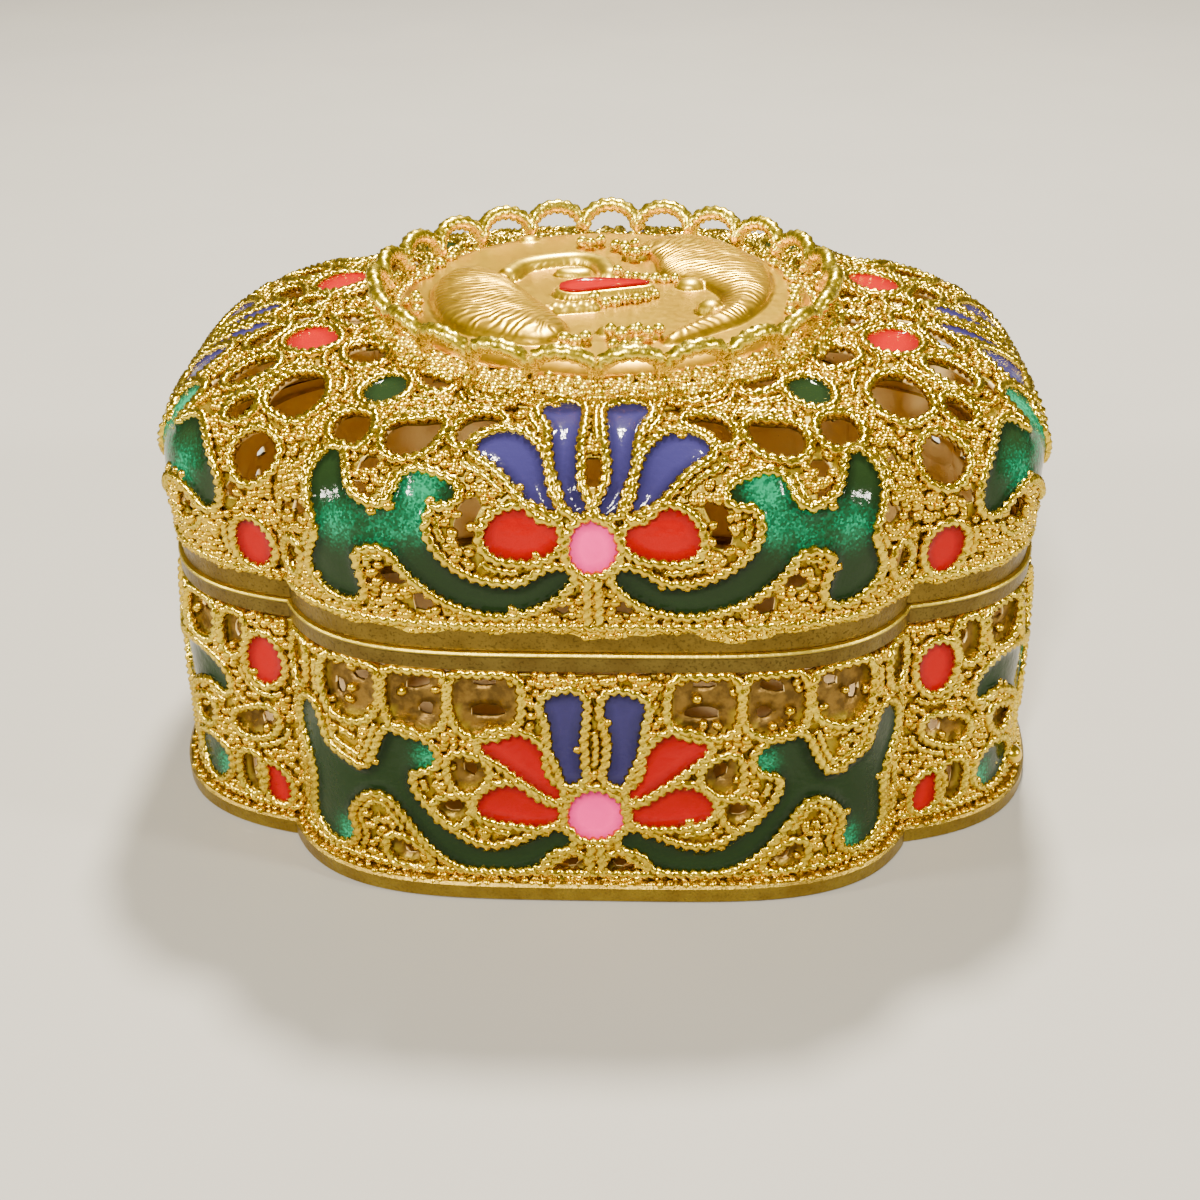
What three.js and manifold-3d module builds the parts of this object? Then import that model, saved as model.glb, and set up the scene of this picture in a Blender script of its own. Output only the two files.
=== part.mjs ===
// Openwork enamelled jewelry box with a lift-off domed lid.
// Millimetres, +Z up. Origin: the middle of the underside. +X runs along the length, +Y to the back.
import * as THREE from 'three';
import { mergeVertices } from 'three/addons/utils/BufferGeometryUtils.js';
import Module from 'manifold-3d';

const wasm = await Module();
wasm.setup();

// ---------- driving dimensions, mm ----------

// Plan: two superellipses crossed, so four lobes meet in four notches.
const FRONT_LOBE = { halfWidth: 32.9, halfDepth: 37.2, power: 4.1 };
const SIDE_LOBE = { halfWidth: 45, halfDepth: 29.1, power: 4 };

const FOOT_HEIGHT = 2;
const FLOOR_THICKNESS = 1.4;
const WALL_THICKNESS = 1.3;
const RIM_BOTTOM = 25.7;
const SEAM_HEIGHT = 27.5;
const SEAM_GAP = 0.3;
const LIP_TOP = 29.2;
const LIP_GAP = 0.4;
const LIP_THICKNESS = 0.9;
const LID_BAND_TOP = 30;
const LID_SHOULDER = 37.5;
const DOME_TOP = 48.3;
const OVERALL_HEIGHT = 52.9;

// Sizes across the plan, as a share of it.
const FOOT_SPREAD = 1.048;
const BASE_BULGE = 1.022;
const LID_BAND_SPREAD = 0.992;
const LID_BULGE = 1.03;
const DOME_POWER = 2.35;

const COLLAR_RADIUS = 23.8;
const SEAT_RADIUS = 19;
const REST_GAP = 0.3;
const PLATE_RADIUS = 21.6;
const PLATE_TOP = 49.9;
const ARCH_COUNT = 23;
const ARCH_WIRE_RADIUS = 0.55;
const ARCH_FOOT_RADIUS = 23;
const ARCH_TOP_RADIUS = 23.95;
const RELIEF_ROUNDING = 0.35;

// The wall lies this far behind the outline that the ropes and the enamel reach.
const WALL_SETBACK = 0.5;
const ORNAMENT_ROOT = 1;
const ORNAMENT_RAISED = 0.25;
const CUTTER_REACH = 4;

// The largest openings of the lid, one on each shoulder, measured from the middle of the box.
const WINDOW = { size: 4.6, along: 27, back: 21, height: 46 };

const STEPS_PER_LOBE = 12;
const LOBES = [-90, 0, 90, 180].map((degrees) => THREE.MathUtils.degToRad(degrees));

// ---------- the plan and the two walls ----------

function lobeRadius(angle, lobe) {
  const across = Math.abs(Math.cos(angle)) / lobe.halfWidth;
  const along = Math.abs(Math.sin(angle)) / lobe.halfDepth;
  return (across ** lobe.power + along ** lobe.power) ** (-1 / lobe.power);
}

function planRadius(angle) {
  return Math.max(lobeRadius(angle, FRONT_LOBE), lobeRadius(angle, SIDE_LOBE));
}

// Reads y at x from a table of rising x.
function lookUp(table, x) {
  const last = table.length - 1;
  let upper = table.findIndex((row) => row.x >= x);
  if (upper < 0) upper = last;
  if (upper === 0) upper = 1;
  const from = table[upper - 1];
  const to = table[upper];
  return from.y + ((to.y - from.y) * (x - from.x)) / (to.x - from.x);
}

// Length along the plan from a lobe's middle, against the angle turned from it.
function lengthTable(facing) {
  const step = THREE.MathUtils.degToRad(0.5);
  const table = [{ x: 0, y: 0 }];
  for (let turned = step; turned < Math.PI / 3; turned += step) {
    const before = new THREE.Vector2(planRadius(facing + turned - step), 0);
    const after = new THREE.Vector2(planRadius(facing + turned), 0);
    before.rotateAround(new THREE.Vector2(), turned - step);
    after.rotateAround(new THREE.Vector2(), turned);
    table.push({ x: table.at(-1).x + before.distanceTo(after), y: turned });
  }
  return table;
}

const FRONT_LENGTHS = lengthTable(LOBES[0]);
const SIDE_LENGTHS = lengthTable(LOBES[1]);

function angleAt(facing, along) {
  const table = Math.abs(Math.cos(facing)) < 0.5 ? FRONT_LENGTHS : SIDE_LENGTHS;
  return facing + Math.sign(along) * lookUp(table, Math.abs(along));
}

// The base swells a little between its foot and its rim.
function baseSpread(height) {
  const share = THREE.MathUtils.clamp((height - FOOT_HEIGHT) / (RIM_BOTTOM - FOOT_HEIGHT), 0, 1);
  return 1 + (BASE_BULGE - 1) * Math.sqrt(1 - share ** 5);
}

// The dome's profile: spread 1 at the band, 0 at the collar.
function domeProfile(share) {
  const belly = 0.3;
  if (share < belly) {
    const rise = share / belly;
    const height = THREE.MathUtils.lerp(LID_BAND_TOP, LID_SHOULDER, rise);
    return { spread: 1 + (LID_BULGE - 1) * Math.sin((rise * Math.PI) / 2), height };
  }
  const turn = ((share - belly) / (1 - belly)) * (Math.PI / 2);
  const height = LID_SHOULDER + (DOME_TOP - LID_SHOULDER) * Math.sin(turn) ** (2 / DOME_POWER);
  return { spread: LID_BULGE * Math.cos(turn) ** (2 / DOME_POWER), height };
}

function domeLengths() {
  const steps = 80;
  const reach = planRadius(LOBES[0]) - COLLAR_RADIUS;
  const table = [{ x: 0, y: 0 }];
  for (let step = 1; step <= steps; step += 1) {
    const before = domeProfile((step - 1) / steps);
    const after = domeProfile(step / steps);
    const length = Math.hypot(reach * (after.spread - before.spread), after.height - before.height);
    table.push({ x: table.at(-1).x + length, y: step / steps });
  }
  return table;
}

const DOME_LENGTHS = domeLengths();

function polar(radius, angle, height) {
  return new THREE.Vector3(radius * Math.cos(angle), radius * Math.sin(angle), height);
}

function basePoint(angle, height) {
  return polar(planRadius(angle) * baseSpread(height), angle, height);
}

function domePoint(angle, length) {
  const share = THREE.MathUtils.clamp(lookUp(DOME_LENGTHS, length), 0, 1);
  const { spread, height } = domeProfile(share);
  return polar(COLLAR_RADIUS + (planRadius(angle) - COLLAR_RADIUS) * spread, angle, height);
}

// A point lifted off a wall: along is the length from the lobe's middle, up the length up the wall.
function onWall(wall, facing) {
  const nudge = 0.2;
  return (along, up, lift) => {
    const angle = angleAt(facing, along);
    const point = wall(angle, up);
    const around = wall(angle + nudge / planRadius(angle), up).sub(point);
    const rise = wall(angle, up + nudge).sub(wall(angle, up - nudge));
    return point.addScaledVector(around.cross(rise).normalize(), lift);
  };
}

// ---------- solids ----------

function toSolid(geometry) {
  const bare = geometry.clone();
  bare.deleteAttribute('normal');
  bare.deleteAttribute('uv');
  const merged = mergeVertices(bare, 1e-4);
  const vertProperties = new Float32Array(merged.attributes.position.array);
  const triVerts = new Uint32Array(merged.index.array);
  return new wasm.Manifold(new wasm.Mesh({ numProp: 3, vertProperties, triVerts }));
}

function toGeometry(solid) {
  const mesh = solid.getMesh();
  const geometry = new THREE.BufferGeometry();
  const count = mesh.vertProperties.length / mesh.numProp;
  const position = new Float32Array(count * 3);
  for (let index = 0; index < count; index += 1) {
    for (let axis = 0; axis < 3; axis += 1) {
      position[index * 3 + axis] = mesh.vertProperties[index * mesh.numProp + axis];
    }
  }
  geometry.setAttribute('position', new THREE.BufferAttribute(position, 3));
  geometry.setIndex(new THREE.BufferAttribute(new Uint32Array(mesh.triVerts), 1));
  return geometry;
}

function fromTriangles(points, triangles) {
  const geometry = new THREE.BufferGeometry();
  geometry.setFromPoints(points);
  geometry.setIndex(triangles.flat());
  return geometry;
}

function middleOf(ring) {
  const sum = ring.reduce((total, point) => total.add(point), new THREE.Vector3());
  return sum.divideScalar(ring.length);
}

// Skins rings of equal count. A loop of rings is a ring-shaped wall; otherwise both ends are capped.
function skin(rings, isLoop) {
  const count = rings[0].length;
  const points = rings.flat();
  const triangles = [];
  const bands = isLoop ? rings.length : rings.length - 1;
  for (let band = 0; band < bands; band += 1) {
    const low = band * count;
    const high = ((band + 1) % rings.length) * count;
    for (let step = 0; step < count; step += 1) {
      const next = (step + 1) % count;
      triangles.push([low + step, low + next, high + next]);
      triangles.push([low + step, high + next, high + step]);
    }
  }
  if (!isLoop) {
    const first = points.push(middleOf(rings[0])) - 1;
    const last = points.push(middleOf(rings.at(-1))) - 1;
    const top = (rings.length - 1) * count;
    for (let step = 0; step < count; step += 1) {
      const next = (step + 1) % count;
      triangles.push([first, next, step]);
      triangles.push([last, top + step, top + next]);
    }
  }
  return fromTriangles(points, triangles);
}

// An outline on a wall, made a block from low to high over it.
function block(outline, place, low, high) {
  const flat = outline.map(([along, up]) => new THREE.Vector2(along, up));
  if (THREE.ShapeUtils.isClockWise(flat)) flat.reverse();
  const count = flat.length;
  const points = [low, high].flatMap((lift) => flat.map(({ x, y }) => place(x, y, lift)));
  const triangles = [];
  for (const [a, b, c] of THREE.ShapeUtils.triangulateShape(flat, [])) {
    triangles.push([a + count, b + count, c + count], [c, b, a]);
  }
  for (let step = 0; step < count; step += 1) {
    const next = (step + 1) % count;
    triangles.push([step, next, next + count], [step, next + count, step + count]);
  }
  return fromTriangles(points, triangles);
}

// A square window standing on its corner.
function opening(along, up, reach) {
  return [[along, up - reach], [along + reach, up], [along, up + reach], [along - reach, up]];
}

function mirrored(outline) {
  return outline.map(([along, up]) => [-along, up]);
}

function bothSides(outlines) {
  return [...outlines, ...outlines.map(mirrored)];
}

// Closes a half outline, drawn from the middle line round to it again, with its mirror image.
function closedByMirror(half) {
  return [...half, ...mirrored(half).reverse().slice(1, -1)];
}

// ---------- ornament, as [along, up] outlines on one lobe ----------

const LID_FLOWER = closedByMirror([
  [0, 20.6], [1.6, 23.8], [5.8, 23.4], [5, 19.2], [11.4, 18.4], [6.4, 13.2], [9.4, 11], [7.4, 7.6], [0, 6.4],
]);
const LID_LEAF = [
  [2.2, 6.4], [4.8, 3.2], [9.6, 2.2], [14, 3.8], [18.2, 8.4], [22.1, 7.4], [21.6, 3.1], [26.4, 4],
  [25.6, 9.4], [27.4, 16], [19.8, 11.6], [17.4, 15.4], [13.1, 14.2], [15.4, 11.6], [12.3, 6],
];
const BASE_FLOWER = closedByMirror([
  [0, 17], [1.1, 23.4], [4.8, 23.2], [4.2, 18.8], [10.6, 18.8], [6.4, 14], [10.6, 12.4], [7.4, 9.3], [0, 7.6],
]);
const BASE_STEM_UNDER = [[2.3, 8.3], [4.6, 5.2], [9.6, 3.7], [14, 5]];
const BASE_STEM_OVER = [[16.8, 11.4], [12.8, 7.4], [6.2, 6.8]];
const BASE_LEAF = [
  ...BASE_STEM_UNDER, [18.8, 11.2], [22.6, 10.8], [22.4, 5.6], [27.6, 5.6], [27.1, 12], [30.5, 17],
  [29, 20], [26.6, 17], [21, 14.8], [18.6, 19.3], [15, 17.3], ...BASE_STEM_OVER,
];
const BASE_SIDE_LEAF = [
  ...BASE_STEM_UNDER, [19.6, 11.2], [24.9, 16.9], [28.2, 14.2], [29, 18.4], [21, 20.6],
  [14.8, 17.2], ...BASE_STEM_OVER,
];
const LID_FRONT_HOLES = [opening(20.4, 18.6, 2.2), opening(26.2, 20.2, 1.8), opening(14, 20.4, 1.7)];
const LID_SIDE_HOLES = [opening(31.6, 11.4, 2.2), opening(21.6, 19.4, 1.9)];
const BASE_FRONT_HOLES = [opening(14, 22, 2.2), opening(22.6, 20.8, 2.2)];
const BASE_SIDE_HOLES = [opening(14, 22.4, 1.9), opening(31.6, 13.4, 1.9)];

// The medallion's relief, as [x, y] outlines: two curled fish, a crescent, a lens, a bar and a leaf.
const MEDALLION_RELIEF = [
  {
    height: 1.5,
    outline: [
      [7.3, -16.4], [11.2, -13], [14.2, -10], [16.9, -4.1], [17.8, 2.3], [17, 7.9], [14.2, 13.6], [11, 17],
      [7.5, 17.6], [4.2, 15.4], [3.4, 12.4], [5.2, 8.6], [6, 4], [9.2, 2], [11.4, -1], [12.2, -3.6],
      [11.4, -7.1], [9.3, -10.1], [6.2, -14.8],
    ],
  },
  {
    height: 1.5,
    outline: [
      [-17.6, -5.4], [-15.8, -10.8], [-12.9, -13.8], [-9, -15.8], [-6, -16.6], [-3.6, -15], [-3.3, -11.7],
      [-5, -7.6], [-7.4, -3], [-10.2, 2.4], [-13.4, 5.6], [-16.6, 4.6], [-18, -0.5],
    ],
  },
  {
    height: 1.2,
    outline: [
      [-11.5, 3.3], [-9.3, 3.5], [-8, 5.6], [-5.7, 7], [-2.9, 7.5], [-1.6, 6.5], [-0.7, 3.3], [1.6, 3.9],
      [0.5, 8], [-2.4, 10], [-6.6, 9.4], [-9.9, 7.3],
    ],
  },
  { height: 0.8, outline: [[-5.6, 4.3], [-4.6, 3.5], [-2.4, 3.5], [-1.9, 4.4], [-2.8, 5.6], [-4.6, 5.5]] },
  { height: 0.9, outline: [[-5.6, -7.8], [-1.2, -6.9], [-1, -5.1], [-5.3, -6.1]] },
  {
    height: 1.1,
    outline: [
      [-4.5, -2.1], [-2.9, -3], [0.1, -2], [2.5, -1.2], [4.8, -0.2], [2.5, 0.6], [-1.7, 0.9], [-4.2, -0.4],
    ],
  },
];

// Raises each lobe's ornament from its wall, out of a layer that follows the wall, and pierces the wall.
function decorate(wall, layer, wallPoint, raisedOn, holesOn) {
  let solid = wall;
  for (const [index, facing] of LOBES.entries()) {
    const isFront = index % 2 === 0;
    const place = onWall(wallPoint, facing);
    const stamp = (outline) => toSolid(block(outline, place, -CUTTER_REACH, CUTTER_REACH));
    for (const outline of raisedOn(isFront)) {
      solid = solid.add(layer.intersect(stamp(outline)));
    }
    for (const outline of holesOn(isFront)) {
      solid = solid.subtract(stamp(outline));
    }
  }
  return solid;
}

// ---------- the pieces ----------

function planAngles() {
  return LOBES.flatMap((facing) => {
    const isFront = Math.abs(Math.cos(facing)) < 0.5;
    const notch = isFront ? Math.PI / 2 - NOTCH_ANGLE : NOTCH_ANGLE;
    const table = isFront ? FRONT_LENGTHS : SIDE_LENGTHS;
    const reach = lookUp(table.map(({ x, y }) => ({ x: y, y: x })), notch);
    return Array.from({ length: STEPS_PER_LOBE }, (_, step) => {
      return angleAt(facing, reach * ((2 * step) / STEPS_PER_LOBE - 1));
    });
  });
}

// The angle from +X at which the lobes cross.
function findNotch() {
  let low = 0.3;
  let high = 1.2;
  for (let pass = 0; pass < 40; pass += 1) {
    const middle = (low + high) / 2;
    if (lobeRadius(middle, SIDE_LOBE) > lobeRadius(middle, FRONT_LOBE)) low = middle;
    else high = middle;
  }
  return low;
}

const NOTCH_ANGLE = findNotch();
const ANGLES = planAngles();

// A ring round the plan: spread times it, then drawn in by inset.
function planRing(spread, inset, height) {
  return ANGLES.map((angle) => polar(planRadius(angle) * spread - inset, angle, height));
}

function makeBase() {
  const inner = WALL_SETBACK + WALL_THICKNESS;
  const lipInset = WALL_THICKNESS + LIP_GAP;
  const wallHeights = [FOOT_HEIGHT, 18, RIM_BOTTOM];
  const wallRings = (inset) => wallHeights.map((height) => planRing(baseSpread(height), inset, height));
  const rings = [
    planRing(FOOT_SPREAD, 0, 0),
    planRing(FOOT_SPREAD, 0, FOOT_HEIGHT),
    ...wallRings(WALL_SETBACK),
    planRing(1, 0, RIM_BOTTOM),
    planRing(1, 0, SEAM_HEIGHT),
    planRing(LID_BAND_SPREAD, lipInset, SEAM_HEIGHT),
    planRing(LID_BAND_SPREAD, lipInset, LIP_TOP),
    planRing(LID_BAND_SPREAD, lipInset + LIP_THICKNESS, LIP_TOP),
    planRing(LID_BAND_SPREAD, lipInset + LIP_THICKNESS, RIM_BOTTOM),
    planRing(BASE_BULGE, inner, 18),
    planRing(BASE_BULGE, inner, FLOOR_THICKNESS),
  ];
  const layerRings = [...wallRings(-ORNAMENT_RAISED), ...wallRings(ORNAMENT_ROOT).reverse()];
  const raisedOn = (isFront) => [BASE_FLOWER, ...bothSides([isFront ? BASE_LEAF : BASE_SIDE_LEAF])];
  const holesOn = (isFront) => bothSides(isFront ? BASE_FRONT_HOLES : BASE_SIDE_HOLES);
  return decorate(toSolid(skin(rings, false)), toSolid(skin(layerRings, true)), basePoint, raisedOn, holesOn);
}

// A ring round the dome at a share of its profile, sunk under its surface.
function domeRing(share, depth) {
  const nudge = 0.01;
  const from = domeProfile(Math.max(share - nudge, 0));
  const to = domeProfile(Math.min(share + nudge, 1));
  const here = domeProfile(share);
  return ANGLES.map((angle) => {
    const reach = planRadius(angle) - COLLAR_RADIUS;
    const slope = new THREE.Vector2(reach * (to.spread - from.spread), to.height - from.height).normalize();
    const radius = COLLAR_RADIUS + reach * here.spread - depth * slope.y;
    return polar(radius, angle, here.height + depth * slope.x);
  });
}

function circleRing(radius, height) {
  return ANGLES.map((angle) => polar(radius, angle, height));
}

function makeLid() {
  const inner = WALL_SETBACK + WALL_THICKNESS;
  const shares = [0, 0.3, 0.52, 0.74, 1];
  const lidBottom = SEAM_HEIGHT + SEAM_GAP;
  const wallRings = (depth) => shares.map((share) => domeRing(share, depth));
  const rings = [
    planRing(LID_BAND_SPREAD, 0, lidBottom),
    planRing(LID_BAND_SPREAD, 0, LID_BAND_TOP),
    ...wallRings(WALL_SETBACK),
    circleRing(SEAT_RADIUS, DOME_TOP),
    circleRing(SEAT_RADIUS, DOME_TOP - inner),
    ...wallRings(inner).slice(1).reverse(),
    planRing(LID_BAND_SPREAD, WALL_THICKNESS, lidBottom),
  ];
  const layerRings = [...wallRings(-ORNAMENT_RAISED), ...wallRings(ORNAMENT_ROOT).reverse()];
  const raisedOn = () => [LID_FLOWER, ...bothSides([LID_LEAF])];
  const holesOn = (isFront) => bothSides(isFront ? LID_FRONT_HOLES : LID_SIDE_HOLES);
  const wall = toSolid(skin(rings, true));
  let solid = decorate(wall, toSolid(skin(layerRings, true)), domePoint, raisedOn, holesOn);
  for (const [right, back] of [[1, 1], [-1, 1], [-1, -1], [1, -1]]) {
    const window = new THREE.BoxGeometry(WINDOW.size, WINDOW.size, CUTTER_REACH * 2);
    window.translate(right * WINDOW.along, back * WINDOW.back, WINDOW.height);
    solid = solid.subtract(toSolid(window));
  }
  return solid;
}

// A plate outline raised into soft relief on the medallion.
function relief(outline, height) {
  const shape = new THREE.Shape(outline.map(([x, y]) => new THREE.Vector2(x, y)));
  const geometry = new THREE.ExtrudeGeometry(shape, {
    depth: height - RELIEF_ROUNDING + REST_GAP,
    bevelThickness: RELIEF_ROUNDING,
    bevelSize: RELIEF_ROUNDING,
    bevelOffset: -RELIEF_ROUNDING,
    bevelSegments: 1,
  });
  geometry.translate(0, 0, PLATE_TOP - REST_GAP);
  return toSolid(geometry);
}

function makeMedallion() {
  const thickness = PLATE_TOP - DOME_TOP - REST_GAP;
  const plate = new THREE.CylinderGeometry(PLATE_RADIUS, PLATE_RADIUS, thickness, 48);
  plate.rotateX(Math.PI / 2);
  plate.translate(0, 0, PLATE_TOP - thickness / 2);
  let solid = toSolid(plate);
  for (const { outline, height } of MEDALLION_RELIEF) {
    solid = solid.add(relief(outline, height));
  }
  return solid;
}

// The gallery is one wire bent into a ring of arches, standing on the collar by its valleys.
function makeGallery() {
  const bends = [-1, -0.7, 0, 0.7];
  const halfTurn = Math.PI / ARCH_COUNT;
  const low = DOME_TOP + REST_GAP + ARCH_WIRE_RADIUS;
  const rise = OVERALL_HEIGHT - ARCH_WIRE_RADIUS - low;
  const rings = [];
  for (let arch = 0; arch < ARCH_COUNT; arch += 1) {
    const middle = Math.PI / 2 + arch * 2 * halfTurn;
    for (const bend of bends) {
      const lift = Math.sqrt(1 - bend ** 2);
      const angle = middle + halfTurn * bend;
      const radius = THREE.MathUtils.lerp(ARCH_FOOT_RADIUS, ARCH_TOP_RADIUS, lift);
      const centre = polar(radius, angle, low + rise * lift);
      const outward = polar(ARCH_WIRE_RADIUS, angle, 0);
      const isValley = lift === 0;
      const across = polar(isValley ? 0 : bend, angle + Math.PI / 2, 0);
      across.z = isValley ? 1 : lift;
      across.multiplyScalar(ARCH_WIRE_RADIUS);
      rings.push([
        centre.clone().add(outward),
        centre.clone().sub(across),
        centre.clone().sub(outward),
        centre.clone().add(across),
      ]);
    }
  }
  return toSolid(skin(rings, true));
}

function piece(name, solid, colour, roughness) {
  const material = new THREE.MeshStandardMaterial({ color: colour, roughness, metalness: 1 });
  const mesh = new THREE.Mesh(toGeometry(solid), material);
  mesh.name = name;
  return mesh;
}

const box = new THREE.Group();
box.add(piece('base', makeBase(), 0xd9a23a, 0.35));
box.add(piece('lid', makeLid(), 0xd9a23a, 0.35));
box.add(piece('medallion', makeMedallion(), 0xe0ac44, 0.22));
box.add(piece('gallery', makeGallery(), 0xe6b548, 0.28));

export default box;
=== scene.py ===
"""Enamelled openwork jewelry box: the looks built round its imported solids.

The box is four lobes wide. Each lobe has its own flat map: along it runs the length round the rim
from the lobe's middle, and up it the height on the base or the length up the lid's dome, both in mm.
Wires, enamel and openings are drawn on that map and then laid on the wall.
"""

import functools
import math

import bmesh
import bpy
import numpy as np
from bpy.props import FloatProperty, FloatVectorProperty, IntProperty, PointerProperty
from mathutils import Matrix, Vector
from mathutils.kdtree import KDTree


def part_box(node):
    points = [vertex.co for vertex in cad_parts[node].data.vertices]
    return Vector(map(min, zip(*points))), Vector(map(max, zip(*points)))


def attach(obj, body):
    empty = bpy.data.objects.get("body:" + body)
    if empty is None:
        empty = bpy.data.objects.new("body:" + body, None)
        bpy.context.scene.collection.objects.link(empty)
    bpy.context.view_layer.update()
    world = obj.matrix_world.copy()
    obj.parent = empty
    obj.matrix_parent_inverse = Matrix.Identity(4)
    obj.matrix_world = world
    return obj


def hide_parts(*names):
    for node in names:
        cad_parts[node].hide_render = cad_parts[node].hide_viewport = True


bl_info = {
    "name": "Enamelled jewelry box",
    "version": (1, 0, 0),
    "blender": (4, 5, 0),
    "location": "View3D > Sidebar > Jewelry box",
    "description": "Builds a gilt openwork box with enamel flowers round its packed solids",
    "category": "Object",
}

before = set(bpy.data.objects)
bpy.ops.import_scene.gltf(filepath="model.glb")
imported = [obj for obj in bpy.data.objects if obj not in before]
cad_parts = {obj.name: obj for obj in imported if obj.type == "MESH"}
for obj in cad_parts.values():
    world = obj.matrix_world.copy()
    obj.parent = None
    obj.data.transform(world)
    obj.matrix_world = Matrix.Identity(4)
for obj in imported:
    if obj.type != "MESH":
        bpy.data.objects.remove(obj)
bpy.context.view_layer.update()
BASE_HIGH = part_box("base")[1]
LID_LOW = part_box("lid")[0]
PLATE_LOW, PLATE_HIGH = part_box("medallion")
GALLERY_LOW, GALLERY_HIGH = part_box("gallery")

MM = 0.001

# ---------- the plan and the two walls, mm ----------

FRONT_LOBE = (32.9, 37.2, 4.1)  # half width, half depth and power of a superellipse
SIDE_LOBE = (45.0, 29.1, 4.0)
LOBE_FACINGS = [math.radians(degrees) for degrees in (-90, 0, 90, 180)]
FOOT_SPREAD = 1.048
FOOT_HEIGHT = 2.0
BASE_BULGE = 1.022
RIM_BOTTOM = 25.7
SEAM_HEIGHT = 27.5
SEAM_TOP = SEAM_HEIGHT + 0.2
LIP_TOP = BASE_HIGH.z / MM
LIP_INSET = 1.7
LIP_THICKNESS = 0.9
WALL_THICKNESS = 1.3
FLOOR_THICKNESS = 1.4
LID_BOTTOM = LID_LOW.z / MM
LID_BAND_TOP = 30.0
LID_BAND_SPREAD = 0.992
LID_SHOULDER = 37.5
LID_BULGE = 1.03
LID_BELLY = 0.3
DOME_TOP = 48.3
DOME_POWER = 2.35
COLLAR_RADIUS = 23.8
SEAT_RADIUS = 19.0
PLATE_RADIUS = PLATE_HIGH.x / MM
PLATE_TOP = 49.9
ARCH_COUNT = 23
ARCH_RADIUS = 0.92
ARCH_FOOT_REACH = 23
ARCH_FLARE = 0.95  # how much farther out the arches' tops stand
ARCH_STEPS = 24

LOBE_TURN = 1.25  # how far round from a lobe's middle its map goes, as an angle
CURVE_STEPS = 12  # points from one knot of a smooth curve to the next


def lobe_radius(angle, lobe):
    half_width, half_depth, power = lobe
    across = np.abs(np.cos(angle)) / half_width
    along = np.abs(np.sin(angle)) / half_depth
    return (across ** power + along ** power) ** (-1 / power)


def base_spread(height):
    share = np.clip((height - FOOT_HEIGHT) / (RIM_BOTTOM - FOOT_HEIGHT), 0, 1)
    return 1 + (BASE_BULGE - 1) * np.sqrt(1 - share ** 5)


def dome_profile(share):
    """Spread (1 at the band, 0 at the collar) and height at a share of the dome's profile."""
    rise = np.clip(share / LID_BELLY, 0, 1)
    turn = np.clip((share - LID_BELLY) / (1 - LID_BELLY), 0, 1) * (math.pi / 2)
    below = share < LID_BELLY
    swell = 1 + (LID_BULGE - 1) * np.sin(rise * math.pi / 2)
    spread = np.where(below, swell, LID_BULGE * np.cos(turn) ** (2 / DOME_POWER))
    climb = LID_BAND_TOP + (LID_SHOULDER - LID_BAND_TOP) * rise
    crown = LID_SHOULDER + (DOME_TOP - LID_SHOULDER) * np.sin(turn) ** (2 / DOME_POWER)
    return spread, np.where(below, climb, crown)


def dome_length_table():
    """The lengths up the front lobe's dome at even shares of its profile."""
    shares = np.linspace(0, 1, 401)
    spread, height = dome_profile(shares)
    reach = FRONT_LOBE[1] - COLLAR_RADIUS
    steps = np.hypot(np.diff(spread) * reach, np.diff(height))
    return np.concatenate([[0], np.cumsum(steps)]), shares


DOME_LENGTHS, DOME_SHARES = dome_length_table()
DOME_LENGTH = DOME_LENGTHS[-1]


def polar(radius, angle, height):
    """Points at a distance from the upright axis, a turn round it and a height."""
    return np.stack([radius * np.cos(angle), radius * np.sin(angle), height + 0 * angle], -1)


class Lobe:
    """One lobe of the plan and its map."""

    def __init__(self, index):
        self.index = index
        self.facing = LOBE_FACINGS[index]
        self.is_front = index % 2 == 0
        self.shape = FRONT_LOBE if self.is_front else SIDE_LOBE
        self.turned = np.linspace(0, LOBE_TURN, 1251)
        angle = self.facing + self.turned
        radius = lobe_radius(angle, self.shape)
        steps = np.linalg.norm(np.diff(polar(radius, angle, 0), axis=0), axis=1)
        self.lengths = np.concatenate([[0], np.cumsum(steps)])
        other = SIDE_LOBE if self.is_front else FRONT_LOBE
        past = lobe_radius(angle, other) > radius
        self.half_length = self.lengths[np.argmax(past)]

    def angle(self, along):
        return self.facing + np.sign(along) * np.interp(np.abs(along), self.lengths, self.turned)

    def base_wall(self, along, up):
        angle = self.angle(along)
        return polar(lobe_radius(angle, self.shape) * base_spread(up), angle, up)

    def dome_wall(self, along, up):
        angle = self.angle(along)
        spread, height = dome_profile(np.interp(up, DOME_LENGTHS, DOME_SHARES))
        radius = COLLAR_RADIUS + (lobe_radius(angle, self.shape) - COLLAR_RADIUS) * spread
        return polar(radius, angle, height)


LOBES = [Lobe(index) for index in range(4)]


def unit(rows):
    """Rows of coordinates scaled to a length of 1."""
    return rows / np.maximum(np.linalg.norm(rows, axis=1, keepdims=True), 1e-6)


def on_wall(wall, flat, lift):
    """Lays map points on a wall, lifted off it, and gives their places and outward normals."""
    flat = np.asarray(flat, float)
    along, up = flat[:, 0], flat[:, 1]
    nudge = 0.05
    point = wall(along, up)
    around = wall(along + nudge, up) - wall(along - nudge, up)
    rise = wall(along, up + nudge) - wall(along, up - nudge)
    normal = unit(np.cross(around, rise))
    return point + normal * np.broadcast_to(lift, along.shape)[:, None], normal


# ---------- outlines on the map ----------

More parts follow.
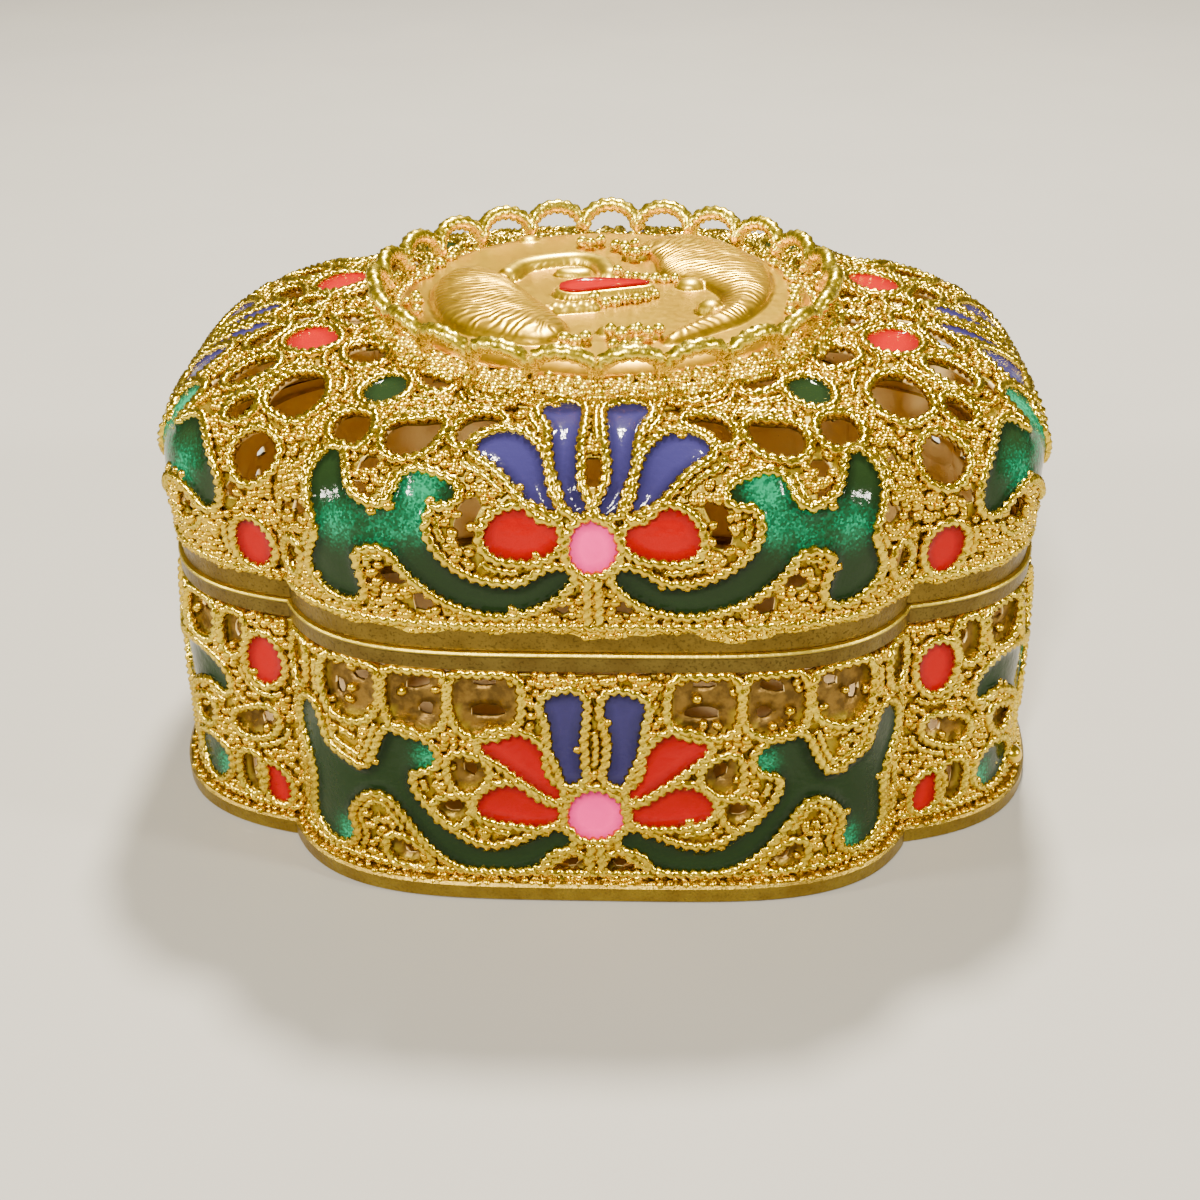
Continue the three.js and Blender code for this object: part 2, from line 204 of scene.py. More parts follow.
def curve_through(*knots):
    """Catmull-Rom pieces, each from its second knot to its third."""
    share = np.linspace(0, 1, CURVE_STEPS, endpoint=False)[:, None]
    return [
        0.5 * (2 * b + (c - a) * share + (2 * a - 5 * b + 4 * c - d) * share ** 2
               + (3 * b - a - 3 * c + d) * share ** 3)
        for a, b, c, d in zip(*knots)
    ]


def smooth_loop(points, step):
    """A closed curve through the points, in even steps, running anticlockwise."""
    knots = np.asarray(points, float)
    curve = curve_through(*(np.roll(knots, shift, 0) for shift in (1, 0, -1, -2)))
    loop = even_steps(np.concatenate(curve), step, True)
    return loop if area(loop) > 0 else loop[::-1]


def smooth_path(points, step):
    """An open curve through the points, in even steps."""
    knots = np.asarray(points, float)
    knots = np.concatenate([[2 * knots[0] - knots[1]], knots, [2 * knots[-1] - knots[-2]]])
    curve = curve_through(knots, knots[1:], knots[2:], knots[3:])
    return even_steps(np.concatenate(curve + [knots[-2:-1]]), step, False)


def even_steps(points, step, closed):
    line = np.concatenate([points, points[:1]]) if closed else points
    lengths = np.concatenate([[0], np.cumsum(np.linalg.norm(np.diff(line, axis=0), axis=1))])
    count = max(int(round(lengths[-1] / step)), 4)
    places = np.linspace(0, lengths[-1], count + (0 if closed else 1), endpoint=not closed)
    return np.stack([np.interp(places, lengths, line[:, axis]) for axis in range(line.shape[1])], 1)


def mirrored(outline):
    return [(-along, up) for along, up in reversed(outline)]


def oval(along, up, half_width, half_height, lean=0.0):
    turns = np.linspace(0, 2 * math.pi, 16, endpoint=False)
    across, over = half_width * np.cos(turns), half_height * np.sin(turns)
    cos, sin = math.cos(lean), math.sin(lean)
    return [(along + a * cos - o * sin, up + a * sin + o * cos) for a, o in zip(across, over)]


def area(outline):
    """The area inside a closed outline; less than nothing where it runs clockwise."""
    (x, y), (next_x, next_y) = outline.T, np.roll(outline, -1, 0).T
    return (x * next_y - next_x * y).sum() / 2


def inside(points, outline):
    """Which points lie inside a closed outline."""
    x, y = points[:, 0], points[:, 1]
    result = np.zeros(len(points), bool)
    for (x1, y1), (x2, y2) in zip(outline, np.roll(outline, -1, 0)):
        if y1 == y2:
            continue
        crosses = (y1 > y) != (y2 > y)
        result ^= crosses & (x < (x2 - x1) * (y - y1) / (y2 - y1) + x1)
    return result


def inside_any(points, outlines):
    """Which points lie inside at least one of the outlines."""
    result = np.zeros(len(points), bool)
    for outline in outlines:
        result |= inside(points, outline)
    return result


def nearest_on(points, outline):
    """The nearest place on a closed outline to each point, and how far it is."""
    start = np.asarray(outline)
    along = np.roll(start, -1, 0) - start
    away = points[:, None, :] - start[None]
    share = np.clip((away * along).sum(2) / np.maximum((along ** 2).sum(1), 1e-9), 0, 1)
    places = start + share[..., None] * along
    far = np.linalg.norm(points[:, None, :] - places, axis=2)
    best = far.argmin(1)
    rows = np.arange(len(points))
    return places[rows, best], far[rows, best]


def nearest_on_any(points, outlines):
    """The nearest place to each point on any of the outlines."""
    places, far = (np.stack(rows) for rows in zip(*(nearest_on(points, outline) for outline in outlines)))
    return places[far.argmin(0), np.arange(len(points))]


def depth_in(points, outline):
    """How deep inside a closed outline each point lies; less than nothing outside."""
    return np.where(inside(points, outline), 1, -1) * nearest_on(points, outline)[1]


# ---------- the ornament, one half of a lobe ----------

# Tongues of the openwork that hang over the lid's band: lobe, along, half width and drop.
RAGGED_TONGUES = [
    (0, 13.5, 3.6, 0.85), (0, 1.2, 2.4, 0.7), (0, -17, 2.2, 0.35), (1, -12, 3, 0.6), (2, 6, 3, 0.5),
    (3, -4, 2, 0.5),
]

LID_PINK = [oval(0, 8.8, 2.0, 2.5)]
LID_RED_PETAL = [
    (9.4, 9.2), (9, 11.2), (7.6, 12.3), (5.6, 12.1), (3.4, 10.8), (3.1, 9.2), (5, 7.9), (8.2, 7.9),
]
LID_FRONT_BLUE = [
    [(0.4, 12.1), (1.7, 14.9), (1.9, 18.4), (1.7, 21.8), (1.8, 24.4), (3.4, 25.2), (6, 24.9), (6.5, 23.5),
     (4.8, 21.4), (3.8, 18), (3, 14), (1.8, 12.4)],
    [(3.2, 12), (4.8, 12.3), (7.4, 15.2), (9.6, 16.9), (11.8, 17.8), (12, 19), (10.4, 20.1), (7.8, 19.9),
     (5.6, 18.1), (4.3, 15)],
]
LID_SIDE_BLUE = [
    [(0.6, 12.4), (1.7, 15.5), (1.5, 18.5), (2, 20), (4.2, 20.3), (5.4, 19.4), (4.3, 17.2), (3.1, 14.4)],
    [(3.4, 12.1), (6, 13), (8.8, 13.6), (11.4, 14), (12, 15.2), (10, 16.8), (7.4, 17.6), (5.6, 16.4)],
]
LID_STEM_UNDER = [(1.9, 6.3), (3.4, 4.1), (6, 2.6), (9.4, 2.1)]
LID_STEM_OVER = [(10.2, 5), (6.6, 4.6), (3.9, 6.2)]
LID_FRONT_LEAF = LID_STEM_UNDER + [
    (13.3, 3.3), (16.3, 5.8), (18.2, 8.4), (20.4, 8.6), (22.1, 7.2), (21.6, 3.1), (24.4, 2.8), (26.8, 4.8),
    (25.4, 8.6), (26.8, 11.5), (28, 14), (27, 16.6), (24.8, 14.8), (23, 12.8), (19.8, 11.6), (18.1, 12.8),
    (17.6, 15.4), (13.1, 14.4), (12.8, 13.2), (15, 12.9), (15.3, 10), (13.3, 6.9),
] + LID_STEM_OVER
LID_SIDE_LEAF = LID_STEM_UNDER + [
    (13, 3.2), (16, 4.9), (18.6, 7), (21, 8.7), (23.6, 8.9), (25.6, 7.8), (27, 6.6), (28.5, 7.4),
    (28.6, 9.4), (27.4, 11.2), (25, 13.2), (22.4, 14.4), (20.6, 14), (19.8, 12.5), (18.6, 12.8),
    (17.8, 15), (16.4, 15.8), (13.3, 14.8), (13, 13.5), (15, 13.1), (15.3, 10.2), (13.3, 6.9),
] + LID_STEM_OVER
LID_FRONT_CELLS = {
    "pink": LID_PINK, "blue": LID_FRONT_BLUE, "red": [LID_RED_PETAL],
    "green": [LID_FRONT_LEAF, oval(29.9, 23.1, 3.3, 1.8, 0.22)],
}
LID_SIDE_CELLS = {
    "pink": LID_PINK, "blue": LID_SIDE_BLUE,
    "red": [LID_RED_PETAL, oval(32.1, 3.5, 1.8, 2.5), oval(13.6, 23.4, 5.2, 1.5, 0.03)],
    "green": [LID_SIDE_LEAF],
}
LID_SHARED_OPENINGS = [
    [(10.4, 13), (11.6, 12.9), (12, 10.8), (11.8, 9), (10.8, 9.1), (11, 11)],
    [(2.3, 2.7), (3.2, 2.5), (3, 1.7), (2.2, 1.8)],
    [(16.8, 2.6), (15.4, 3.1), (14.7, 2.4), (15.6, 1.6)],
    [(19.3, 5.3), (17.8, 5.9), (17.1, 4.9), (18.4, 4.2)],
]
LID_FRONT_OPENINGS = LID_SHARED_OPENINGS + [
    [(10.2, 21.7), (12.6, 22.4), (15, 21.8), (15, 19.6), (13.5, 18.4), (13, 20.2)],
    [(8.6, 24.4), (10.9, 24.6), (12, 23.5), (10, 23.2)],
    [(12, 26.4), (15, 27), (18.8, 26.8), (17, 25.5), (13.6, 25.3)],
    [(30.4, 19.2), (26.8, 20), (25.2, 19.1), (24.8, 17.3), (28.3, 17.1)],
    [(23.2, 19.8), (20.4, 20.7), (17.9, 21.2), (17, 19.6), (17.7, 17.6), (20.8, 17)],
    [(23.2, 15.4), (21.4, 15.6), (23, 16.6)],
    [(24.2, 13.4), (22.2, 13.9), (21.2, 13)],
    [(30.1, 9.6), (28.6, 10.8), (27.5, 10.1), (28.8, 9)],
    [(32.4, 3.4), (30.4, 6), (28.8, 5.5), (30, 3.1)],
    [(32.6, 8), (31.4, 10.2), (31.2, 8.4), (32.3, 7)],
    [(32.2, 13.4), (32.2, 15.8), (30.8, 14.4)],
    [(30.2, 26.9), (25, 27), (21.6, 25.4), (24.6, 24.9), (28.6, 25.8)],
]
LID_SIDE_OPENINGS = LID_SHARED_OPENINGS + [
    [(29.4, 13), (30.2, 15), (32.4, 14.8), (34, 13.6), (34.2, 12), (33.4, 10.8), (31.8, 10.2),
     (30.6, 11.4)],
    [(28, 17.9), (25.6, 19.6), (24.4, 21.2), (27.4, 21.9), (32, 20.6), (33.8, 18.6), (33, 17),
     (30.6, 17.2)],
    [(15.6, 20.2), (17.4, 21), (20.2, 20.6), (21.2, 18.8), (20.2, 17.6), (17.4, 18.2)],
    [(23.8, 16.9), (24.8, 18.2), (27.2, 16.8), (26.4, 15.3)],
    [(5.2, 21.6), (8.6, 21.2), (12.4, 20.2), (9.8, 19.2), (6.8, 19.9)],
    [(18.4, 15.9), (15.8, 16.7), (14.6, 17.6), (16.6, 17.6), (18.4, 16.9)],
    [(20.4, 25.4), (20.6, 26.7), (25, 26.8), (29.2, 26), (30.2, 24.8), (25.6, 24.4)],
    [(1.6, 22.2), (2.4, 23.4), (5.8, 23.2), (6.2, 22.5), (3.8, 21.9)],
    [(4.6, 25), (4.2, 26.6), (7.6, 26.9), (11.4, 26.3), (8.4, 25.6)],
    [(24.6, 5.6), (23.2, 6.9), (21.8, 5.6), (23, 4.4)],
    [(29.6, 6.6), (31, 8.6), (30, 9.4), (29.9, 8)],
]
LID_MIDDLE_OPENINGS = [
    [(0, 17.9), (0.7, 16.3), (0, 14.9), (-0.7, 16.3)],
    [(1.2, 26.6), (0, 26.1), (-1.2, 26.6)],
]

BASE_PINK = [oval(0, 9.7, 2.6, 2.8)]
BASE_BLUE = [
    [(1.1, 14.2), (1.5, 15.6), (1.6, 18.6), (1.2, 21), (1.1, 23), (2.3, 23.5), (3.8, 23.1), (4.7, 22.4),
     (4.2, 20.8), (3.9, 18.4), (3.8, 15), (2.6, 13.4)],
]
BASE_RED = [
    [(10.7, 17.6), (9.4, 18.8), (7.4, 19), (5.9, 18.2), (4.6, 16), (3.6, 13), (3.3, 11.4), (5, 12.4),
     (7, 14.2), (9.2, 16.2)],
    [(11.2, 10.7), (10.3, 12.2), (8.8, 13), (7.1, 12.7), (5.2, 11.3), (3.5, 10.5), (3.5, 9.4), (5, 8.6),
     (8, 8.8), (10.6, 9.5)],
]
BASE_STEM_UNDER = [(2.4, 6.8), (3.8, 5), (5.8, 3.7), (8.2, 3), (10.8, 2.9), (13.4, 3.6), (15.4, 5)]
BASE_STEM_OVER = [(14.4, 7.7), (12.6, 6.2), (10.4, 5.4), (8, 5.8), (5.7, 6.8), (3.9, 7.8)]
BASE_FRONT_LEAF = BASE_STEM_UNDER + [
    (17, 7), (18.4, 9.2), (20.2, 11.3), (22.4, 11.1), (24.2, 9.4), (25, 7.4), (24.4, 5.4), (25.6, 3.9),
    (28.2, 4), (29.8, 5.6), (29.2, 9.6), (29.8, 12.4), (31.4, 15), (31.2, 17.6), (29, 19.2), (28, 17.6),
    (27.2, 15.2), (24.6, 13.9), (22.2, 13.3), (20.6, 15.6), (19.4, 18.4), (17.6, 18.4), (15.3, 16.7),
    (15.6, 15), (17.6, 14.4), (17.8, 12.2), (16.4, 9.8),
] + BASE_STEM_OVER
BASE_SIDE_LEAF = BASE_STEM_UNDER + [
    (16.8, 7.4), (17.8, 10.2), (19, 13), (21.4, 15), (24, 16.1), (25.6, 15.8), (26.6, 15.2), (27.4, 16.6),
    (26.2, 18.4), (23.4, 19.3), (19.6, 18.8), (16.4, 17.7), (14.8, 16.2), (15.3, 14.8), (16.7, 13.6),
    (16, 10.4),
] + BASE_STEM_OVER
BASE_FRONT_CELLS = {"pink": BASE_PINK, "blue": BASE_BLUE, "red": BASE_RED, "green": [BASE_FRONT_LEAF]}
BASE_SIDE_CELLS = {
    "pink": BASE_PINK, "blue": BASE_BLUE,
    "red": BASE_RED + [oval(32.1, 20.4, 1.8, 2.7, 0.05), oval(32, 5.3, 1.3, 2.4, 0.25)],
    "green": [BASE_SIDE_LEAF, oval(22.9, 5.8, 3.1, 2.4, 0.35)],
}

# Recesses backed by the liner, and the small openings through them.
BASE_SHARED_RECESSES = [
    [(12.6, 25.3), (7.9, 25.3), (7.7, 19.9), (12.5, 19.7)],
    [(19.1, 25.2), (14.8, 25.3), (14.7, 19.6), (19, 19.7)],
    [(6.3, 25.4), (5.2, 25.4), (5.4, 24.4)],
    [(13.3, 16.3), (10.9, 15.7), (10.3, 14.2), (11.6, 12.4), (13.3, 12.8)],
    [(15, 10.8), (12.5, 11.3), (12.4, 9.6), (13.4, 8.4), (14.8, 9)],
    [(3.8, 4.7), (1.5, 4.6), (1.2, 2.7), (4.6, 2.6)],
]
BASE_FRONT_RECESSES = BASE_SHARED_RECESSES + [
    [(26.4, 24.8), (21.5, 25.2), (21.3, 20.4), (26, 19.6)],
    [(17.4, 4.8), (20.2, 5.9), (19.6, 3.2), (16.4, 3.1)],
    [(32.6, 24.6), (30.4, 24.8), (30.2, 21), (32.4, 21.2)],
]
BASE_SIDE_RECESSES = BASE_SHARED_RECESSES + [
    [(25.4, 25), (21.2, 25.2), (21.2, 21.5), (25.2, 21.5)],
    [(27.4, 24.4), (29.4, 24.8), (29.4, 21.6), (28.4, 20.4), (27.4, 21)],
    [(27.7, 12.3), (29.7, 13.9), (32.5, 14.4), (32.4, 12.2), (28.8, 10.9)],
    [(28, 7.6), (30, 8.2), (29.8, 4), (28, 4)],
    [(20.4, 11.4), (22.4, 12.6), (24.4, 13.2), (24, 11), (21.6, 10)],
]
BASE_SHARED_OPENINGS = [
    [(9.2, 23.8), (9.3, 24.5), (11.2, 24.4), (11.2, 23.8)],
    [(11.7, 20.5), (10.9, 21.7), (8.6, 21.5), (8.5, 20.5)],
    [(18, 23.1), (17.2, 24.5), (15.8, 24.6), (15.4, 23.8), (16.4, 23.2)],
    [(16.7, 20.8), (16.1, 21.7), (15.2, 21.5), (15.2, 20.5), (15.9, 20.2)],
    [(12.5, 15), (11.7, 15.5), (11.1, 14.1), (11.4, 13.4), (12.4, 14)],
    [(14.6, 9.8), (14, 10.6), (12.8, 10.4), (12.9, 9.4), (14, 9.2)],
    [(4.2, 2.9), (3.3, 4.2), (2, 4.1), (1.7, 2.9)],
]
BASE_FRONT_OPENINGS = BASE_SHARED_OPENINGS + [
    [(26, 22.8), (24.9, 22.5), (24.8, 21.2), (25.9, 20.9)],
    [(23.8, 23.6), (22.1, 24.4), (21.9, 23.6), (22.8, 22.9)],
    [(19, 4.4), (17.6, 4.3), (17.8, 3.6), (18.8, 3.5)],
    [(31.9, 23.9), (31, 23.9), (31, 22.6), (31.8, 22.6)],
]
BASE_SIDE_OPENINGS = BASE_SHARED_OPENINGS + [
    [(23.9, 24.2), (22.3, 24.2), (22.3, 23.2), (23.8, 23.4)],
    [(29, 24), (28.1, 23.6), (28.1, 22), (28.9, 22)],
    [(30.4, 12.6), (31, 13.6), (32, 13.5), (31.7, 12.3), (30.8, 12)],
    [(28.5, 7.1), (29.6, 7.3), (29.4, 4.9), (28.5, 4.8)],
    [(22, 11.2), (23.2, 12.4), (23.8, 11.7), (22.7, 10.9)],
]

# Where the green enamel is thin and its ground shines through, with a painted highlight there: along, up,
# reach and strength.
SHOW_THROUGH_HIGHLIGHTS = {
    "base": [(15.6, 15.9, 0.9, 0.9), (24.9, 4.9, 1.0, 1.0)],
    "lid": [(16, 14.2, 1.0, 1.7), (15.7, 11, 1.2, 0.8), (18.8, 10.2, 1.5, 0.4), (23.6, 10, 1.25, 0.8)],
}

POST_TOPS = {"base": 6.4, "lid": 5.8}  # where the pair of wires under each pink boss ends

DRAWN = {  # cells, openings, openings on the lobe's middle line, and recesses
    ("lid", True): (LID_FRONT_CELLS, LID_FRONT_OPENINGS, LID_MIDDLE_OPENINGS, []),
    ("lid", False): (LID_SIDE_CELLS, LID_SIDE_OPENINGS, LID_MIDDLE_OPENINGS, []),
    ("base", True): (BASE_FRONT_CELLS, BASE_FRONT_OPENINGS, [], BASE_FRONT_RECESSES),
    ("base", False): (BASE_SIDE_CELLS, BASE_SIDE_OPENINGS, [], BASE_SIDE_RECESSES),
}

# ---------- wires, enamel and granules, mm; lifts are off the wall, negative inside it ----------

OUTLINE_STEP = 0.4
BARE_OPENING = 5.0  # openings and recesses smaller than this, in mm2, have no wire round them

WIRE_RADIUS = 0.65
WIRE_PITCH = 1.9
WIRE_SIDES = 8
WIRE_PINCH = 0.58  # share of its thickness that a wire loses between its two strands
WIRE_LIFT = -0.45
WIRE_SWAYS = ((0.09, 3), (0.05, 7))  # how far a wire strays from its outline, and how often round it
CELL_WIRE_GAP = 0.9 * WIRE_RADIUS
EDGE_WIRE_GAP = 0.8 * WIRE_RADIUS
EDGE_WIRE_UP = {"base": FOOT_HEIGHT + 0.6, "lid": 0.45}
EDGE_WIRE_STEP = 0.5
POST_LIFT = WIRE_LIFT + 0.1
POST_ASIDE = 0.55
POST_LEAN = 0.8  # share of its distance from the middle that a post keeps at its top
POST_FOOT = 0.9

SCROLL_GAPS = (1.5, 3.2)  # how far the scrolls lie from the outlines that they follow
SCROLL_ROOM = 1.3
SCROLL_SIDE_ROOM = 0.7
SCROLL_LOW_ROOM = 1.7
SCROLL_HIGH_ROOM = 1.5
SCROLL_POST_ROOM = (1.7, 7.5)  # half width and top of what is kept clear round the posts
SCROLL_RADIUS = 0.5
SCROLL_PITCH = 1.5
SCROLL_LIFT = WIRE_LIFT - 0.1
SCROLL_SHORTEST = 6  # points; runs no longer than this are left out

ENAMEL_STEP = 0.5
ENAMEL_OVERLAP = 0.3  # how far enamel runs on under its wires
ENAMEL_LIFT = -0.6
ENAMEL_THICKNESS = 0.3
CREEP_RISE = 0.26  # how far enamel creeps up its wires
CREEP_REACH = 0.28
CREEP_EDGE = 0.1  # it is all the way up this far outside its outline

SHEET_STEP = (0.8, 0.65)
SHEET_THICKNESS = 0.45
RIM_REACH = 0.8  # a sheet's rim within this distance of an outline is drawn to it
SHEET_UNDER_WIRE = {"base": 0, "lid": 0.4}  # how far an opening's rim is drawn back under its wire
GROUND_LIFT = -0.85
RECESS_LIFT = -1.35

GRANULE_RADIUS = 0.53
GRANULE_LIFT = -0.62
GRANULE_SINK = 0.45  # how much deeper a granule lies in a recess
GRANULE_JITTER = 0.28
GRANULE_STRAYS = 0.14  # share of the places in recesses that hold a granule
GRANULE_ROW = 0.87  # distance between rows as a share of the spacing
GRANULE_EDGE_ROOM = 0.2
GRANULE_OPENING_ROOM = 0.25
GRANULE_WIRE_ROOM = 0.6
HANDFUL = 100  # granules

COLLAR_CRUST = ((22, 0.1), (23.1, 0.05), (24, -0.15), (24.6, -0.6))  # radius and height over the seat
COLLAR_CRUST_SPACING = 0.95
COLLAR_CRUST_GRAIN = 0.6
FOOT_CRUST_SPREADS = (1.012, 1.033)
FOOT_CRUST_COUNT = 78  # a lobe and row
FOOT_CRUST_GRAIN = 0.42
EDGE_CRUST_RISES = (0.32, 0.95)  # over the ragged edge
EDGE_CRUST_TOP = 0.7  # over the lid's band
EDGE_CRUST_COUNT = 80
EDGE_CRUST_GRAIN = 0.4


class Layout:
    """Everything drawn on one lobe of the base or the lid."""

    def __init__(self, lobe, part):
        self.lobe = lobe
        self.part = part
        if part == "lid":
            self.wall, self.low, self.high = lobe.dome_wall, 0.0, DOME_LENGTH
        else:
            self.wall, self.low, self.high = lobe.base_wall, FOOT_HEIGHT, RIM_BOTTOM
        cells, openings, middle, recesses = DRAWN[part, lobe.is_front]
        self.cells = {
            colour: self.laid(outlines, [] if colour == "pink" else outlines)
            for colour, outlines in cells.items()
        }
        self.enamelled = [outline for outlines in self.cells.values() for outline in outlines]
        self.show_through_highlights = SHOW_THROUGH_HIGHLIGHTS[part]
        self.openings = self.laid(openings + middle, openings)
        self.recesses = self.laid(recesses, recesses)

    @staticmethod
    def laid(outlines, doubled):
        """Rounded outlines, with the mirror images of those that have one on each half."""
        both = outlines + [mirrored(outline) for outline in doubled]
        return [smooth_loop(outline, OUTLINE_STEP) for outline in both]


# ---------- the medallion, mm over its plate ----------

LEFT_FISH = [
    (-17.6, -5.4), (-15.8, -10.8), (-12.9, -13.8), (-9, -15.8), (-6, -16.6), (-3.6, -15), (-3.3, -11.7),
    (-5, -7.6), (-7.4, -3), (-10.2, 2.4), (-13.4, 5.6), (-16.6, 4.6), (-18, -0.5),
]
RIGHT_FISH = [
    (7.3, -16.4), (11.2, -13), (14.2, -10), (16.9, -4.1), (17.8, 2.3), (17, 7.9), (14.2, 13.6), (11, 17),
    (7.5, 17.6), (4.2, 15.4), (3.4, 12.4), (5.2, 8.6), (6, 4), (9.2, 2), (11.4, -1), (12.2, -3.6),
    (11.4, -7.1), (9.3, -10.1), (6.2, -14.8),
]
CRESCENT = [(-10.4, 3.4), (-9, 6.4), (-6.2, 8.2), (-2.9, 8.8), (-0.6, 7.2), (0.5, 3.6)]
LENS = oval(-3.4, 4.6, 2.2, 1.3)
RIBBED_BAR = [(-5.2, -6.9), (-1.2, -6)]
RED_LEAF = [
    (-4.5, -2.1), (-2.9, -3), (0.1, -2), (2.5, -1.2), (4.8, -0.2), (2.5, 0.6), (-1.7, 0.9), (-4.2, -0.4),
]
UPPER_BEADS = [(1.2, 3.1), (2.8, 3.4), (4.4, 2.9), (6, 2.4), (7.4, 2.6)]
LOWER_BEADS = [(-0.9, -5.4), (0.6, -5), (2.3, -4.3), (3.9, -3.6), (5.2, -2.5)]
BOSSES = [  # place, radius and height
    (11, -6.9, 1.6, 1.3), (3.1, 10.5, 1.4, 0.9), (1.9, 13.5, 1.2, 0.8), (-1.9, 14.7, 1.2, 0.7),
    (2.1, -14.1, 1.3, 0.9), (4.7, -14, 1.3, 0.9), (2.5, -17.2, 1.1, 0.6), (-2.3, -15.9, 1.4, 0.6),
    (0.6, -12.9, 1, 0.7), (-9.2, 17, 1.2, 0.5), (9, 0.9, 1.5, 0.9),
]
BEADED_BOSSES = BOSSES[1:8]
BOSS_BEADS = ((-0.9, -0.3), (0.9, -0.1), (0, -0.9))  # from the boss's middle
BEAD_RADIUS = 0.66
BEAD_STEP = 1.15
BEAD_LIFT = 0.25
LUMP_TURNS = ((2.5, 3.5, 16), (-0.35, 0.5, 12))  # from and to, as angles, and how many lumps
LUMP_REACH = (19.4, 20.6)
PLATE_FLAT = 19.0  # the plate curls down outside this radius
PLATE_CURL = 1.15
PLATE_SIDES = 360
PLATE_RING_STEP = 0.25
LEAF_RISE = 0.7
ENGRAVED_FADE = 1.2  # the strokes fade in over this depth inside a fish
# The painted reflection on the plate's curl fades in over this distance.
CURL_REFLECTION_FADE = 1.2


class PlateMap:
    """The medallion's own map: x and y across the plate, with its relief."""

    show_through_highlights = ()

    @staticmethod
    def wall(x, y):
        return np.stack([x, y, PLATE_TOP + relief(np.stack([x, y], -1))], -1)


def rounded(share):
    """A quarter round: 0 at the foot and 1 from a share of 1 on."""
    return np.sqrt(1 - (1 - np.clip(share, 0, 1)) ** 2)


def ridge(flat, path, half_width):
    """How far up a rounded ridge along an open path each point is, 0 to 1."""
    line = smooth_path(path, 0.3)
    far = np.linalg.norm(flat[:, None, :] - line[None], axis=2).min(1)
    return rounded(1 - far / half_width)


def fish_depths(flat):
    return [depth_in(flat, smooth_loop(outline, 0.8)) for outline in (LEFT_FISH, RIGHT_FISH)]


def relief(flat):
    """Height of the medallion's relief at points on its plate."""
    left, right = fish_depths(flat)
    parts = [
        1.5 * rounded(left / 4.6),
        1.25 * rounded(right / 4.2),
        1.2 * ridge(flat, CRESCENT, 1.25),
        0.8 * rounded(depth_in(flat, smooth_loop(LENS, 0.5)) / 1.3),
        (0.85 + 0.1 * np.sin(5 * flat[:, 0])) * ridge(flat, RIBBED_BAR, 1.1),
        0.7 * rounded(depth_in(flat, smooth_loop(RED_LEAF, 0.5)) / 0.5 + 1.4),
    ]
    parts += [
        rise * rounded(1 - np.hypot(flat[:, 0] - x, flat[:, 1] - y) / radius)
        for x, y, radius, rise in BOSSES
    ]
    past = np.clip((np.hypot(flat[:, 0], flat[:, 1]) - PLATE_FLAT) / (PLATE_RADIUS - PLATE_FLAT), 0, 1)
    return np.maximum.reduce(parts) - PLATE_CURL * past ** 2


# ---------- meshes ----------

def new_object(name, mesh, smooth=True):
    mesh.name = name
    mesh.polygons.foreach_set("use_smooth", [smooth] * len(mesh.polygons))
    piece = bpy.data.objects.new(name, mesh)
    bpy.context.scene.collection.objects.link(piece)
    return piece


def mesh_from(bm):
    mesh = bpy.data.meshes.new("piece")
    bm.to_mesh(mesh)
    bm.free()
    return mesh


def join_into(bm, patch):
    """Adds a finished patch to the mesh of its piece."""
    mesh = mesh_from(patch)
    bm.from_mesh(mesh)
    bpy.data.meshes.remove(mesh)


def mark(bm, name, values):
    """Gives each vertex a number that a material reads by name."""
    layer = bm.verts.layers.float.new(name)
    for vert, value in zip(bm.verts, values):
        vert[layer] = float(value)


def place_piece(piece, material, replaces):
    piece.data.materials.clear()
    piece.data.materials.append(material)
    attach(piece, "root")
    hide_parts(replaces)


def give_wall(piece, thickness):
    wall = piece.modifiers.new("thickness", "SOLIDIFY")
    wall.thickness = thickness * MM
    wall.offset = -1


def ring_points(spread, inset, height, steps=96):
    """A loop of points round the plan, drawn in by inset; height is a number or a rule (lobe, along)."""
    rows = []
    for lobe in LOBES:
        along = np.linspace(-lobe.half_length, lobe.half_length, steps, endpoint=False)
        angle = lobe.angle(along)
        radius = lobe_radius(angle, lobe.shape) * spread - inset
        rows.append(polar(radius, angle, height(lobe, along) if callable(height) else height))
    return np.concatenate(rows)


def circle_points(radius, height, count):
    return polar(radius, np.linspace(0, 2 * math.pi, count, endpoint=False), height)


def extrude_rings(bm, rings):
    """Draws the first ring as a loop of edges and extrudes it through the rest."""
    step = bm.verts.layers.int.new("step")
    loop = [bm.verts.new(point) for point in rings[0] * MM]
    for index, vert in enumerate(loop):
        vert[step] = index
    edges = [bm.edges.new((loop[index - 1], loop[index])) for index in range(len(loop))]
    for ring in rings[1:]:
        made = bmesh.ops.extrude_edge_only(bm, edges=edges)["geom"]
        fresh = {item for item in made if isinstance(item, bmesh.types.BMVert)}
        for vert in fresh:
            vert.co = ring[vert[step]] * MM
        edges = [
            item for item in made
            if isinstance(item, bmesh.types.BMEdge) and all(vert in fresh for vert in item.verts)
        ]
    return edges


def filled_drum(bm, rings):
    """A wall through the rings, filled in at its first and its last."""
    last = extrude_rings(bm, rings)
    first = [edge for edge in bm.edges if edge.is_boundary and edge not in set(last)]
    for edges in (first, last):
        bmesh.ops.edgeloop_fill(bm, edges=edges)
    bmesh.ops.recalc_face_normals(bm, faces=bm.faces[:])


def closed_ring(bm, rings):
    """A ring-shaped wall whose section closes on itself."""
    extrude_rings(bm, rings + [rings[0]])
    bmesh.ops.remove_doubles(bm, verts=bm.verts[:], dist=1e-7)
    bmesh.ops.recalc_face_normals(bm, faces=bm.faces[:])


